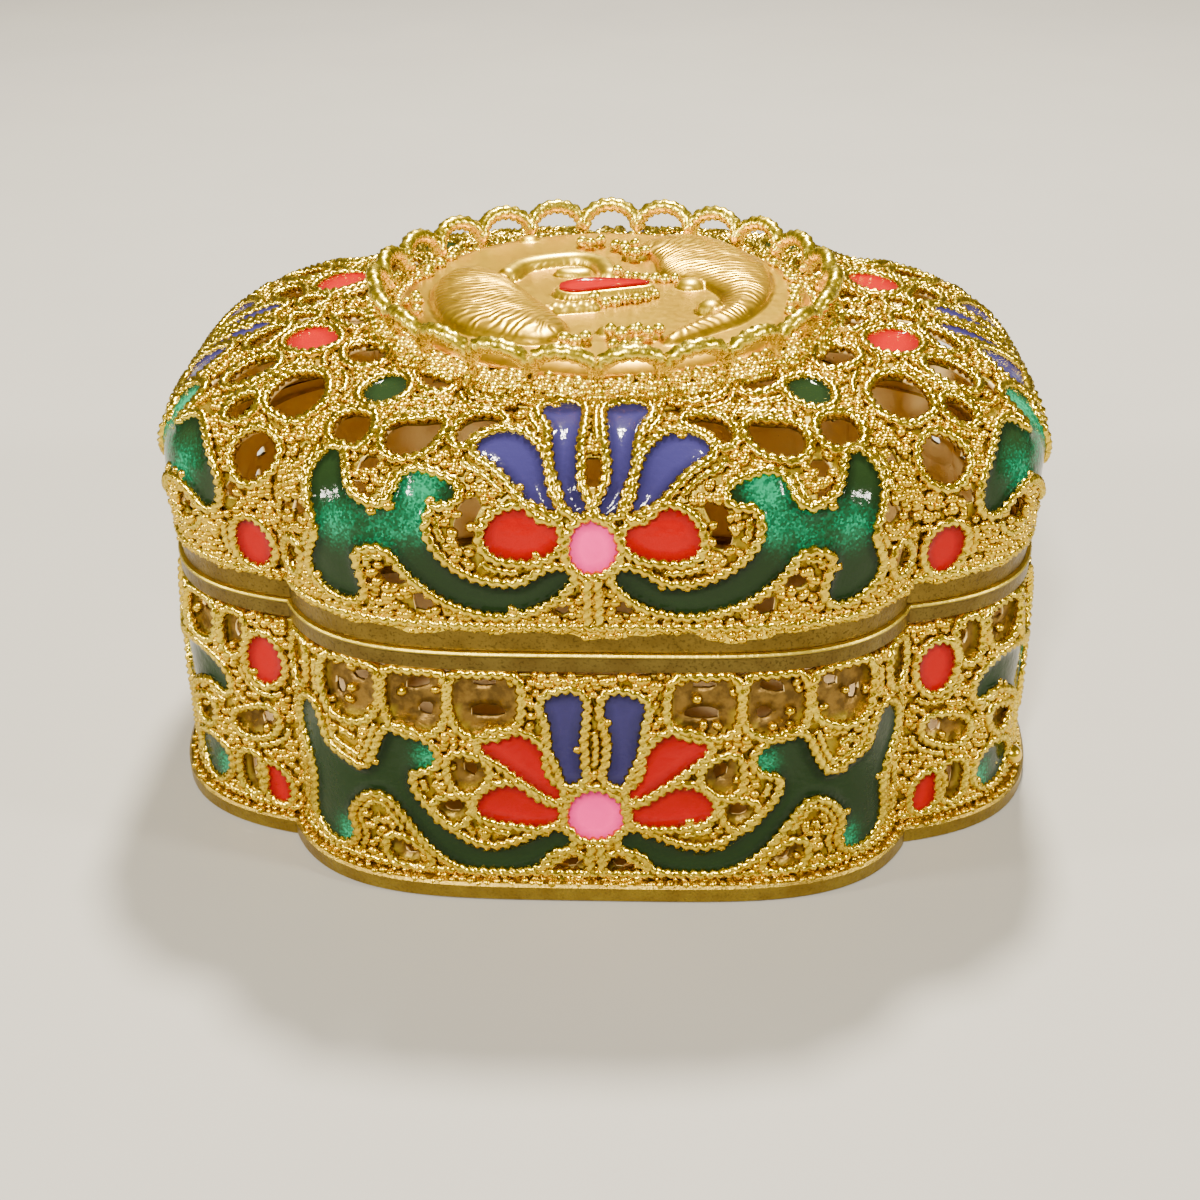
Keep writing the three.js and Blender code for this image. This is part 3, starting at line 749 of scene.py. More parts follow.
def add_ring(name, rings, material, part):
    """Adds a gilt piece that is a closed ring."""
    bm = bmesh.new()
    closed_ring(bm, rings)
    place_piece(new_object(name, mesh_from(bm), smooth=False), material, part)


# ---------- wires ----------

def round_wires(name, lines, radius):
    """The mesh of round wires along lines of (points in mm, closed), WIRE_SIDES vertices to a point."""
    curve = bpy.data.curves.new(name, "CURVE")
    curve.dimensions = "3D"
    curve.bevel_depth = radius * MM
    curve.bevel_resolution = (WIRE_SIDES - 4) // 2
    for points, closed in lines:
        spline = curve.splines.new("POLY")
        spline.points.add(len(points) - 1)
        spline.points.foreach_set("co", np.column_stack([points * MM, np.ones(len(points))]).ravel())
        spline.use_cyclic_u = closed
        spline.use_smooth = True
    cord = bpy.data.objects.new(name, curve)
    bpy.context.scene.collection.objects.link(cord)
    depsgraph = bpy.context.evaluated_depsgraph_get()
    mesh = bpy.data.meshes.new_from_object(cord.evaluated_get(depsgraph))
    bpy.data.objects.remove(cord)
    return mesh


def twisted_wires(name, paths, step, radius=WIRE_RADIUS, pitch=WIRE_PITCH, pinch=WIRE_PINCH):
    """Wires along paths of (points in mm, closed), pinched into two twisted strands."""
    lines = [(even_steps(points, step, closed), closed) for points, closed in paths]
    turns = []
    for points, closed in lines:
        count = len(points)
        full_turns = round(count * step / pitch) if closed else count * step / pitch
        turns.append(np.arange(count) * (2 * math.pi * full_turns / count))
    mesh = round_wires(name, lines, radius)
    places = np.empty(len(mesh.vertices) * 3)
    mesh.vertices.foreach_get("co", places)
    sections = places.reshape(-1, WIRE_SIDES, 3)
    middles = sections.mean(1, keepdims=True)
    around = np.arange(WIRE_SIDES) * (2 * math.pi / WIRE_SIDES)
    strand = np.abs(np.cos(around - np.concatenate(turns)[:, None]))
    pinched = middles + (sections - middles) * (1 - pinch * (1 - strand))[..., None]
    mesh.vertices.foreach_set("co", pinched.ravel())
    # Painted shade: the valleys between a wire's two strands are marked darker.
    hollow = mesh.attributes.new("hollow", "FLOAT", "POINT")
    hollow.data.foreach_set("value", np.clip(0.8 - 1.25 * strand, 0, 1).ravel())
    bm = bmesh.new()
    bm.from_mesh(mesh)
    bmesh.ops.holes_fill(bm, edges=[edge for edge in bm.edges if edge.is_boundary])
    bmesh.ops.recalc_face_normals(bm, faces=bm.faces[:])
    bm.to_mesh(mesh)
    bm.free()
    return new_object(name, mesh)


def border_path(layout, outline, gap):
    """The middle of a wire that runs round an outline, outside it by gap."""
    point, normal = on_wall(layout.wall, outline, WIRE_LIFT)
    tangent = unit(np.roll(point, -1, 0) - np.roll(point, 1, 0))
    turn = np.arange(len(point)) * (2 * math.pi / len(point))
    for axis, (sway, times) in enumerate(WIRE_SWAYS):
        gap = gap + sway * np.sin(times * turn + outline[0, axis])
    path = point + np.cross(tangent, normal) * gap[:, None]
    for _ in range(3):
        path = 0.5 * path + 0.25 * (np.roll(path, 1, 0) + np.roll(path, -1, 0))
    return path


def wire_paths(layout):
    """The wires round a layout's enamel, and those round its openings or recesses."""
    cells = [border_path(layout, outline, CELL_WIRE_GAP) for outline in layout.enamelled]
    edges = [outline for outline in layout.recesses or layout.openings if area(outline) > BARE_OPENING]
    lattice = [border_path(layout, outline, EDGE_WIRE_GAP) for outline in edges]
    if layout.part == "base":
        for path in cells + lattice:
            path[:, 2] = np.minimum(path[:, 2], RIM_BOTTOM - EDGE_WIRE_GAP)
    return cells, lattice


def open_paths(layout):
    """The wire along a layout's lower edge and the two posts under its pink boss."""
    along = np.arange(-layout.lobe.half_length, layout.lobe.half_length, EDGE_WIRE_STEP)
    edge = np.stack([along, 0 * along + EDGE_WIRE_UP[layout.part]], 1)
    paths = [on_wall(layout.wall, edge, WIRE_LIFT)[0]]
    for aside in (-POST_ASIDE, POST_ASIDE):
        foot, top = (aside, layout.low + POST_FOOT), (aside * POST_LEAN, POST_TOPS[layout.part])
        paths.append(on_wall(layout.wall, np.linspace(foot, top, 12), POST_LIFT)[0])
    return paths


def scroll_room(layout, flat):
    """Which map points lie clear of a layout's edges and of its posts."""
    along, up = np.abs(flat[:, 0]), flat[:, 1]
    within = along < layout.lobe.half_length - SCROLL_SIDE_ROOM
    within &= (up > layout.low + SCROLL_LOW_ROOM) & (up < layout.high - SCROLL_HIGH_ROOM)
    half_width, top = SCROLL_POST_ROOM
    return within & ~((along < half_width) & (up < top))


def free_runs(flat, free):
    """The stretches of a closed outline that are free, leaving out the shortest."""
    if not free.any() or free.all():
        return []
    start = int(np.argmin(free))
    flat, free = np.roll(flat, -start, 0), np.roll(free, -start)
    ends = np.flatnonzero(np.diff(np.concatenate([[0], free, [0]])))
    return [flat[first:last] for first, last in ends.reshape(-1, 2) if last - first > SCROLL_SHORTEST]


@functools.cache
def scroll_paths(layout):
    """Thinner wires that follow the enamel and the openings through the ground, where there is room."""
    filled = layout.enamelled + layout.recesses + layout.openings
    scrolls = []
    for gap in SCROLL_GAPS:
        for outline in filled:
            along = unit(np.roll(outline, -1, 0) - np.roll(outline, 1, 0))
            flat = outline + gap * np.stack([along[:, 1], -along[:, 0]], 1)
            free = scroll_room(layout, flat)
            for other in filled:
                near = free & (np.abs(flat - other.mean(0)) < np.ptp(other, 0) + SCROLL_ROOM).all(1)
                if near.any():
                    free[near] = depth_in(flat[near], other) < -SCROLL_ROOM
            for other in scrolls:
                free[free] = np.linalg.norm(flat[free, None] - other[None], axis=2).min(1) > SCROLL_ROOM
            scrolls += free_runs(flat, free)
    return [on_wall(layout.wall, flat, SCROLL_LIFT)[0] for flat in scrolls]


# ---------- enamel, openwork and granules ----------

def lay_grid(bm, low, high, step):
    """A grid over a rectangle of the map."""
    size = [high[axis] - low[axis] for axis in (0, 1)]
    counts = [max(int(math.ceil(size[axis] / step[axis])), 2) for axis in (0, 1)]
    made = bmesh.ops.create_grid(bm, x_segments=counts[0], y_segments=counts[1], size=0.5)["verts"]
    for vert in made:
        vert.co.x = low[0] + (vert.co.x + 0.5) * size[0]
        vert.co.y = low[1] + (vert.co.y + 0.5) * size[1]


def face_middles(patch):
    return np.array([face.calc_center_median()[:2] for face in patch.faces])


def map_points(patch):
    return np.array([vert.co[:2] for vert in patch.verts])


def rim_drawn(patch, flat, closest, is_in, beyond):
    """Map points with those of a patch's rim drawn to a close outline, or a little beyond it."""
    is_rim = np.array([vert.is_boundary for vert in patch.verts])
    is_rim &= np.linalg.norm(flat - closest, axis=1) < RIM_REACH
    outward = np.where(is_in, -1, 1)[:, None] * unit(flat - closest)
    return np.where(is_rim[:, None], closest + beyond * outward, flat)


def lay_on_wall(patch, wall, flat, lift):
    for vert, place in zip(patch.verts, on_wall(wall, flat, lift)[0]):
        vert.co = place * MM


def show_through_highlight_at(flat, show_through_highlights):
    """How strongly the ground shines through the enamel at map points, with its painted highlight."""
    along, up = np.abs(flat[:, 0]), flat[:, 1]
    glow = np.zeros(len(flat))
    for middle, height, reach, strength in show_through_highlights:
        glow += strength * np.exp(-((along - middle) ** 2 + (up - height) ** 2) / (2 * reach ** 2))
    return glow


def pour_enamel(name, cells, step=ENAMEL_STEP, overlap=ENAMEL_OVERLAP):
    """Fills cells with enamel that creeps up its wires at the edges."""
    bm = bmesh.new()
    for layout, outline in cells:
        patch = bmesh.new()
        lay_grid(patch, outline.min(0) - RIM_REACH, outline.max(0) + RIM_REACH, (step, step))
        deep = depth_in(face_middles(patch), outline)
        outside = [face for face, depth in zip(patch.faces[:], deep) if depth < -overlap]
        bmesh.ops.delete(patch, geom=outside, context="FACES")
        flat = map_points(patch)
        flat = rim_drawn(patch, flat, nearest_on(flat, outline)[0], inside(flat, outline), overlap)
        depth = depth_in(flat, outline)
        creep = CREEP_RISE * np.exp(-np.clip(depth + CREEP_EDGE, 0, None) / CREEP_REACH)
        lay_on_wall(patch, layout.wall, flat, ENAMEL_LIFT + creep)
        mark(patch, "edge_distance", depth)
        mark(patch, "glow", show_through_highlight_at(flat, layout.show_through_highlights))
        join_into(bm, patch)
    piece = new_object(name, mesh_from(bm))
    give_wall(piece, ENAMEL_THICKNESS)
    return piece


def pierced_grid(layout):
    """A grid over a layout's map, cut away in its openings and nowhere pinched to a point."""
    patch = bmesh.new()
    reach = layout.lobe.half_length + 0.5
    lay_grid(patch, (-reach, layout.low), (reach, layout.high), SHEET_STEP)
    cut = inside_any(face_middles(patch), layout.openings)
    gone = [face for face, is_cut in zip(patch.faces[:], cut) if is_cut]
    while gone:
        bmesh.ops.delete(patch, geom=gone, context="FACES")
        pinched = [vert for vert in patch.verts if sum(edge.is_boundary for edge in vert.link_edges) > 2]
        gone = list({face for vert in pinched for face in vert.link_faces})
    return patch


def openwork(name, layouts):
    """A sheet that follows the wall, sunk in its recesses and cut away in its openings."""
    bm = bmesh.new()
    for layout in layouts:
        patch = pierced_grid(layout)
        flat = map_points(patch)
        closest = nearest_on_any(flat, layout.openings)
        is_in = inside_any(flat, layout.openings)
        flat = rim_drawn(patch, flat, closest, is_in, SHEET_UNDER_WIRE[layout.part])
        sunk = inside_any(flat, layout.recesses)
        lay_on_wall(patch, layout.wall, flat, np.where(sunk, RECESS_LIFT, GROUND_LIFT))
        # The sunk part is given painted shade by the lined gilding.
        mark(patch, "recess", sunk)
        join_into(bm, patch)
    piece = new_object(name, mesh_from(bm))
    give_wall(piece, SHEET_THICKNESS)
    return piece


def granule_rows(layout, spacing):
    """Map points over the whole of a layout, every other row set half a step along."""
    rows = []
    reach = layout.lobe.half_length
    first, last = layout.low + 0.3, layout.high - GRANULE_EDGE_ROOM
    for row, up in enumerate(np.arange(first, last, spacing * GRANULE_ROW)):
        ends = layout.wall(np.array([-0.5, 0.5]), np.array([up, up]))
        step = spacing * (1 / np.linalg.norm(ends[1] - ends[0]))
        along = np.arange(-reach, reach, step) + (row % 2) * step / 2
        rows.append(np.stack([along, 0 * along + up], 1))
    return np.concatenate(rows)


def granule_places(layout, wires, rng, spacing):
    """Jittered rows of granules on the gold ground between wires, cells and openings."""
    flat = granule_rows(layout, spacing)
    flat += rng.uniform(-GRANULE_JITTER, GRANULE_JITTER, flat.shape)
    keep = np.abs(flat[:, 0]) < layout.lobe.half_length
    keep &= (flat[:, 1] > layout.low + GRANULE_EDGE_ROOM) & (flat[:, 1] < layout.high - GRANULE_EDGE_ROOM)
    stray = rng.random(len(flat)) < GRANULE_STRAYS
    keep &= ~inside_any(flat, layout.enamelled)
    for outline in layout.openings:
        keep &= depth_in(flat, outline) < -GRANULE_OPENING_ROOM
    sunk = inside_any(flat, layout.recesses)
    keep &= ~sunk | stray
    flat, sunk = flat[keep], sunk[keep]
    lift = GRANULE_LIFT + rng.uniform(-0.1, 0.08, len(flat)) - GRANULE_SINK * sunk
    places, normals = on_wall(layout.wall, flat, lift)
    points = np.concatenate(wires)
    tree = KDTree(len(points))
    for index, point in enumerate(points):
        tree.insert(point, index)
    tree.balance()
    clear = np.array([tree.find(place)[2] > GRANULE_WIRE_ROOM for place in places])
    return places[clear], normals[clear]


def granules(name, places, normals, rng, radius=GRANULE_RADIUS, uneven=0.2, longer=0.3, detail=1):
    """Small lumps at the places, made in handfuls because one large mesh is slow to add to."""
    bm = bmesh.new()
    for start in range(0, len(places), HANDFUL):
        handful = bmesh.new()
        hollow = handful.verts.layers.float.new("hollow")
        for place, normal in zip(places[start:start + HANDFUL], normals[start:start + HANDFUL]):
            stretch = Matrix.Diagonal((*(rng.uniform(1 - uneven, 1 + uneven, 3) + (longer, 0, 0)), 1))
            turn = Matrix.Rotation(rng.uniform(0, 6.3), 4, Vector(rng.normal(size=3)).normalized())
            middle, up, darkening = Vector(place * MM), Vector(normal), rng.uniform(0.1, 0.55)
            matrix = Matrix.Translation(middle) @ turn @ stretch
            size = radius * MM
            made = bmesh.ops.create_icosphere(handful, subdivisions=detail, radius=size, matrix=matrix)
            # Painted shade: a granule darkens towards the wall, on top of its own random dulling.
            for vert in made["verts"]:
                rise = (vert.co - middle).dot(up) / size
                vert[hollow] = min(max(darkening - 0.6 * rise, 0), 1)
        join_into(bm, handful)
    return new_object(name, mesh_from(bm))


# ---------- materials ----------

# Painted shade: the brown, mottled at random, that fills the sunk recesses.
RECESS_SHADE_DARK = (0.105, 0.058, 0.010)
RECESS_SHADE_LIGHT = (0.22, 0.125, 0.022)
# Painted light: the walls' inner faces are painted a paler gold and made less metallic.
INNER_LIT_GOLD = (0.94, 0.68, 0.26)
INNER_DULL = 0.85  # share of its metallic look that a wall loses on its inner side
# Burnished gold with a painted highlight, for the raised relief outside the bodies.
BURNISHED_HIGHLIGHT_GOLD = (0.98, 0.66, 0.02)
# Painted reflection: the warm gold of the arches reflected in the plate's curled rim.
CURL_REFLECTION_GOLD = (0.78, 0.42, 0.004)
FLECKS_PER_MM = 5.0
STROKE_TURN = 2 * math.pi * 110  # strokes round the plate, as an angle
STROKE_TWIST = 2.4  # how far they turn on, as an angle, with each mm from the middle
STROKE_SWAY = 26.0  # how far they stray, as an angle
STROKE_DEPTH = 0.034


def shade(colour, factor):
    return tuple(value * factor for value in colour)


class Finish:
    """A material's nodes, with a short way to add each kind."""

    def __init__(self, material):
        material.use_nodes = True
        self.material = material
        self.nodes = material.node_tree.nodes
        self.links = material.node_tree.links
        self.shader = self.nodes["Principled BSDF"].inputs

    def feed(self, socket, value):
        """Links another node's output to a socket, or sets the socket to a number or a colour."""
        if isinstance(value, bpy.types.NodeSocket):
            self.links.new(value, socket)
        else:
            socket.default_value = value

    def add(self, kind, inputs=(), **options):
        """Adds a node, sets its options, feeds its inputs and returns its outputs."""
        node = self.nodes.new("ShaderNode" + kind)
        for name, option in options.items():
            setattr(node, name, option)
        for name, value in dict(inputs).items():
            self.feed(node.inputs[name], value)
        return node.outputs

    def places(self):
        return self.add("TexCoord")["Object"]

    def attribute(self, name):
        return self.add("Attribute", attribute_name=name)["Fac"]

    def noise(self, per_mm, detail=3.0, rough=0.55):
        inputs = {"Scale": per_mm / MM, "Detail": detail, "Roughness": rough, "Vector": self.places()}
        return self.add("TexNoise", inputs)["Fac"]

    def ramp(self, value, stops):
        node = self.nodes.new("ShaderNodeValToRGB")
        for element, (position, colour) in zip(node.color_ramp.elements, stops):
            element.position = position
            element.color = (*colour, 1)
        self.feed(node.inputs["Fac"], value)
        return node.outputs["Color"]

    def spread(self, value, low, high):
        """Spreads the middle of a noise over the range from low to high."""
        inputs = {"Value": value, "From Min": 0.3, "From Max": 0.7, "To Min": low, "To Max": high}
        return self.add("MapRange", inputs)["Result"]

    def mixed(self, factor, tone, colour):
        """Mixes a tone into a colour, or into another tone."""
        if not isinstance(colour, bpy.types.NodeSocket):
            colour = (*colour, 1)
        return self.add("Mix", {"Factor": factor, "A": tone, "B": colour}, data_type="RGBA")["Result"]

    def math(self, operation, *values):
        return self.add("Math", enumerate(values), operation=operation)["Value"]

    def bump(self, height, depth_mm):
        inputs = {"Strength": 1.0, "Distance": depth_mm * MM, "Height": height}
        self.feed(self.shader["Normal"], self.add("Bump", inputs)["Normal"])


def gilt(name, light, dark, roughness, grain_per_mm, grain_mm, metallic=1.0, pits=0.0):
    """Gilt metal: two golds that drift into each other, dull in its pits and on some granules, with painted
    shade in its hollows, and a fine grain.
    """
    finish = Finish(bpy.data.materials.new(name))
    finish.feed(finish.shader["Metallic"], metallic)
    tone = finish.ramp(finish.noise(0.35), [(0.35, dark), (0.62, light)])
    pit = finish.ramp(finish.noise(3.6, 2.0), [(0.36, (pits,) * 3), (0.46, (0, 0, 0))])
    # Painted shade in the hollows, with random dulling and the pits, darkens the gold towards a dark brown.
    darkening = finish.math("MAXIMUM", finish.attribute("hollow"), pit)
    finish.feed(finish.shader["Base Color"], finish.mixed(darkening, tone, shade(dark, 0.22)))
    finish.feed(finish.shader["Roughness"], finish.spread(finish.noise(1.3), *roughness))
    finish.bump(finish.noise(grain_per_mm, 4.0, 0.6), grain_mm)
    return finish.material


def enamel(name, deep, clear, glitter_and_highlight):
    """Fired enamel: darker where it pools against its wires, lighter and glittering where its ground shines
    through, with a painted highlight there.
    """
    finish = Finish(bpy.data.materials.new(name))
    edge = finish.attribute("edge_distance")
    cloud = finish.math("MULTIPLY", finish.noise(0.8), 0.45)
    pool = finish.math("MULTIPLY_ADD", edge, 0.8, cloud)
    tone = finish.ramp(pool, [(0.1, deep), (0.95, clear)])
    # The lighter glittering colour stands partly for the ground showing through and partly for a painted
    # highlight.
    flecks = finish.add("TexVoronoi", {"Scale": FLECKS_PER_MM / MM, "Vector": finish.places()})["Color"]
    sparkle = finish.math("MULTIPLY_ADD", finish.math("POWER", flecks, 2.6), 2.2, 0.22)
    shine = finish.math("MULTIPLY", finish.attribute("glow"), sparkle)
    shine = finish.math("MINIMUM", shine, 1.0)
    finish.feed(finish.shader["Base Color"], finish.mixed(shine, tone, glitter_and_highlight))
    finish.feed(finish.shader["Roughness"], 0.1)
    finish.feed(finish.shader["Specular IOR Level"], 0.14)
    ripple = finish.math("MULTIPLY", finish.noise(1.6, 2.0, 0.5), 0.35)
    creep = finish.math("POWER", 0.12, finish.math("MAXIMUM", edge, 0.0))
    finish.bump(finish.math("ADD", ripple, creep), 0.13)
    return finish.material


# ---------- settings ----------

COLOUR = {"subtype": "COLOR", "min": 0, "max": 1}


class BoxSettings(bpy.types.PropertyGroup):
    """Sizes and colours a user would change."""

    wire_step: FloatProperty(
        name="Wire step", description="Length between sections of the twisted wires",
        default=0.21 * MM, min=0.05 * MM, unit="LENGTH")
    granule_spacing: FloatProperty(
        name="Granule spacing", description="Distance between granules",
        default=0.82 * MM, min=0.3 * MM, unit="LENGTH")
    seed: IntProperty(name="Seed", description="Seed of the granules' scatter", default=7)
    gold_light: FloatVectorProperty(
        name="Light gold", description="Colour of the gilding where it is clean",
        default=(0.94, 0.71, 0.05), **COLOUR)
    gold_dark: FloatVectorProperty(
        name="Dark gold", description="Colour of the gilding where it has dulled",
        default=(0.86, 0.57, 0.018), **COLOUR)
    blue: FloatVectorProperty(
        name="Blue", description="Colour of the blue enamel", default=(0.027, 0.023, 0.098), **COLOUR)
    red: FloatVectorProperty(
        name="Red", description="Colour of the red enamel", default=(0.335, 0.001, 0.001), **COLOUR)
    pink: FloatVectorProperty(
        name="Pink", description="Colour of the pink enamel", default=(1.0, 0.035, 0.30), **COLOUR)
    green: FloatVectorProperty(
        name="Green", description="Colour of the green enamel", default=(0.010, 0.0235, 0.0065), **COLOUR)
    # Also carries the painted highlight on the green enamel.
    glitter_and_highlight: FloatVectorProperty(
        name="Glitter", description="Colour of the enamel where its ground shines through",
        default=(0.001, 0.25, 0.115), **COLOUR)
    floor: FloatVectorProperty(
        name="Floor", description="Colour of the floor", default=(0.32, 0.308, 0.288), **COLOUR)


def settings():
    return bpy.context.scene.box_settings


def gold(kind):
    """The gilding of one kind of surface, made once; its values are in the order that gilt takes."""
    known = bpy.data.materials.get(kind)
    if known:
        return known
    light, dark = settings().gold_light, settings().gold_dark
    kinds = {
        "gilt_wire": (light, dark, (0.14, 0.27), 3.0, 0.03),
        # Painted light: a brighter copy of the wires' gold for the collar, the medallion's beads and the
        # arches on top.
        "gilt_bright": ((1.0, 0.78, 0.05), (0.95, 0.70, 0.02), (0.2, 0.32), 3.0, 0.03),
        "gilt_grain": (shade(dark, 0.96), shade(dark, 0.76), (0.2, 0.32), 3.0, 0.03),
        # Painted shade: the ground sheet between the granules is much darker than the wires' gold.
        "gilt_ground": (shade(light, 0.4), shade(dark, 0.34), (0.35, 0.5), 2.2, 0.08, 0.8),
        # Painted shade: the inner floor is a dark, dull brown gold.
        "gilt_floor": ((0.44, 0.31, 0.14), (0.36, 0.24, 0.10), (0.5, 0.65), 1.6, 0.05, 0.2),
        "gilt_foot": ((0.34, 0.235, 0.03), (0.26, 0.165, 0.02), (0.28, 0.42), 2.4, 0.12, 1.0, 0.3),
        "gilt_band": ((0.19, 0.125, 0.022), (0.14, 0.088, 0.014), (0.3, 0.46), 2.4, 0.08, 1.0, 0.5),
        # Painted shade: the base's rim is a darker copy of the band's gold, below the lid.
        "gilt_rim": ((0.165, 0.115, 0.026), (0.125, 0.08, 0.018), (0.3, 0.46), 2.4, 0.08, 1.0, 0.5),
        "gilt_plate": ((0.70, 0.43, 0.006), (0.64, 0.37, 0.005), (0.29, 0.35), 1.2, 0.006),
    }
    return gilt(kind, *kinds[kind])


def lined(kind):
    """The gilding of a wall: painted shade where it is sunk, a painted highlight along the seam, painted
    lighter and less metallic on its inner side.
    """
    known = bpy.data.materials.get(kind)
    if known:
        return known
    finish = Finish(gold(kind))
    base, metallic = finish.shader["Base Color"], finish.shader["Metallic"]
    recess_shade = finish.ramp(finish.noise(0.8), [(0.4, RECESS_SHADE_DARK), (0.6, RECESS_SHADE_LIGHT)])
    tone = finish.mixed(finish.attribute("recess"), base.links[0].from_socket, recess_shade)
    # Painted highlight where marked along the seam.
    tone = finish.mixed(finish.attribute("rub"), tone, settings().gold_light)
    facing = {0: finish.places(), 1: finish.add("NewGeometry")["True Normal"]}
    outward = finish.add("VectorMath", facing, operation="DOT_PRODUCT")["Value"]
    is_inner = finish.math("LESS_THAN", outward, 0.0)
    # Painted light on the inner faces.
    finish.feed(base, finish.mixed(is_inner, tone, INNER_LIT_GOLD))
    share = metallic.default_value
    finish.feed(metallic, finish.math("MULTIPLY_ADD", is_inner, -INNER_DULL * share, share))
    return finish.material


def engraved(kind):
    """The gilding of the plate: burnished with a painted highlight on its raised relief, a painted
    reflection on its curl, cut with fine strokes where engraved.
    """
    finish = Finish(gold(kind))
    base = finish.shader["Base Color"]
    tone = finish.mixed(finish.attribute("burnish"), base.links[0].from_socket, BURNISHED_HIGHLIGHT_GOLD)
    finish.feed(base, finish.mixed(finish.attribute("amber"), tone, CURL_REFLECTION_GOLD))
    turn = finish.add("TexGradient", {"Vector": finish.places()}, gradient_type="RADIAL")["Fac"]
    reach = finish.add("VectorMath", {0: finish.places()}, operation="LENGTH")["Value"]
    twist = finish.math("MULTIPLY", reach, STROKE_TWIST / MM)
    sway = finish.math("MULTIPLY_ADD", finish.noise(0.22, 2.0), STROKE_SWAY, twist)
    strokes = finish.math("SINE", finish.math("MULTIPLY_ADD", turn, STROKE_TURN, sway))
    finish.bump(finish.math("MULTIPLY", strokes, finish.attribute("engraving")), STROKE_DEPTH)
    return finish.material


def enamel_of(colour):
    name = "enamel_" + colour
    tone = getattr(settings(), colour)
    return bpy.data.materials.get(name) or enamel(name, shade(tone, 0.5), tone, settings().glitter_and_highlight)


@functools.cache
def layouts(part):
    return [Layout(lobe, part) for lobe in LOBES]


# ---------- pieces ----------

FOOT_EDGE = 0.25
FOOT_WIDTH = 1.8
FLOOR_INSET = 1.5
FLOOR_BOTTOM = 0.15
RIM_BEAD = 0.1  # how far the rim stands out at the seam
SOLDER = [(-18.7, 4.6), (-17.9, 4.1)]  # two drops on the right lobe's map
SOLDER_RADIUS = 1.05
RAGGED_TOP = LID_BAND_TOP + 0.35
RAGGED_COUNT = 160
SEAT_COUNT = 192


def plan_rings(section, steps=96):
    """Rings round the plan from a section's corners, each a spread, an inset and a height."""
    return [ring_points(*corner, steps) for corner in section]


def add_grains(name, places, normals, rng, kind, part, radius=GRANULE_RADIUS):
    place_piece(granules(name, places, normals, rng, radius), gold(kind), part)


class BOX_OT_base_bands(bpy.types.Operator):
    """Adds the base's floor with its foot, and its rim with the locating lip"""

    bl_idname = "jewelry_box.base_bands"
    bl_label = "Base bands"

    def execute(self, context):
        foot = [
            (FOOT_SPREAD, FOOT_EDGE, 0), (FOOT_SPREAD, 0, FOOT_EDGE),
            (FOOT_SPREAD, 0, FOOT_HEIGHT - FOOT_EDGE), (FOOT_SPREAD, FOOT_EDGE, FOOT_HEIGHT),
            (1, FOOT_WIDTH, FOOT_HEIGHT), (1, FOOT_WIDTH, 0),
        ]
        add_ring("base_foot", plan_rings(foot), gold("gilt_foot"), "base")

        bm = bmesh.new()
        filled_drum(bm, plan_rings([(1, FLOOR_INSET, FLOOR_BOTTOM), (1, FLOOR_INSET, FLOOR_THICKNESS)]))
        floor = new_object("base_floor", mesh_from(bm), smooth=False)
        place_piece(floor, gold("gilt_floor"), "base")

        rng = np.random.default_rng(settings().seed)
        drops = on_wall(LOBES[1].base_wall, SOLDER, 0.1)
        solder = granules("base_solder", *drops, rng, SOLDER_RADIUS, uneven=0.15, longer=0, detail=3)
        place_piece(solder, gold("gilt_wire"), "base")

        bm = bmesh.new()
        closed_ring(bm, plan_rings([
            (1, 0.15, RIM_BOTTOM), (1, 0, RIM_BOTTOM + 0.15), (1, 0, SEAM_HEIGHT - 0.25),
            (1, -RIM_BEAD, SEAM_HEIGHT - 0.12), (1, -RIM_BEAD, SEAM_HEIGHT + 0.05), (1, 0.02, SEAM_TOP),
            (LID_BAND_SPREAD, LIP_INSET, SEAM_TOP), (LID_BAND_SPREAD, LIP_INSET, LIP_TOP),
            (LID_BAND_SPREAD, LIP_INSET + LIP_THICKNESS, LIP_TOP),
            (LID_BAND_SPREAD, LIP_INSET + LIP_THICKNESS, RIM_BOTTOM),
        ]))
        # Painted highlight: a brighter gold along the rim's top edge at the seam.
        mark(bm, "rub", [0.5 * (vert.co.z > SEAM_HEIGHT * MM) for vert in bm.verts])
        rim = new_object("base_rim", mesh_from(bm), smooth=False)
        place_piece(rim, lined("gilt_rim"), "base")
        return {"FINISHED"}


class BOX_OT_openwork(bpy.types.Operator):
    """Adds the pierced sheets under the base's and the lid's wires"""

    bl_idname = "jewelry_box.openwork"
    bl_label = "Openwork"

    def execute(self, context):
        for part in ("base", "lid"):
            sheet = openwork(part + "_openwork", layouts(part))
            place_piece(sheet, lined("gilt_ground"), part)
        return {"FINISHED"}


class BOX_OT_wires(bpy.types.Operator):
    """Adds the twisted wires round the enamel, the openings and the edges"""

    bl_idname = "jewelry_box.wires"
    bl_label = "Twisted wires"

    def execute(self, context):
        step = settings().wire_step / MM
        for part in ("base", "lid"):
            cells, lattice, scrolls = [], [], []
            for layout in layouts(part):
                round_cells, round_edges = wire_paths(layout)
                cells += [(path, True) for path in round_cells]
                lattice += [(path, True) for path in round_edges]
                lattice += [(path, False) for path in open_paths(layout)]
                scrolls += [(path, False) for path in scroll_paths(layout)]
            for wires in (
                twisted_wires(part + "_cell_wires", cells, step),
                twisted_wires(part + "_lattice_wires", lattice, step),
                twisted_wires(part + "_scroll_wires", scrolls, step, SCROLL_RADIUS, SCROLL_PITCH),
            ):
                place_piece(wires, gold("gilt_wire"), part)
        return {"FINISHED"}


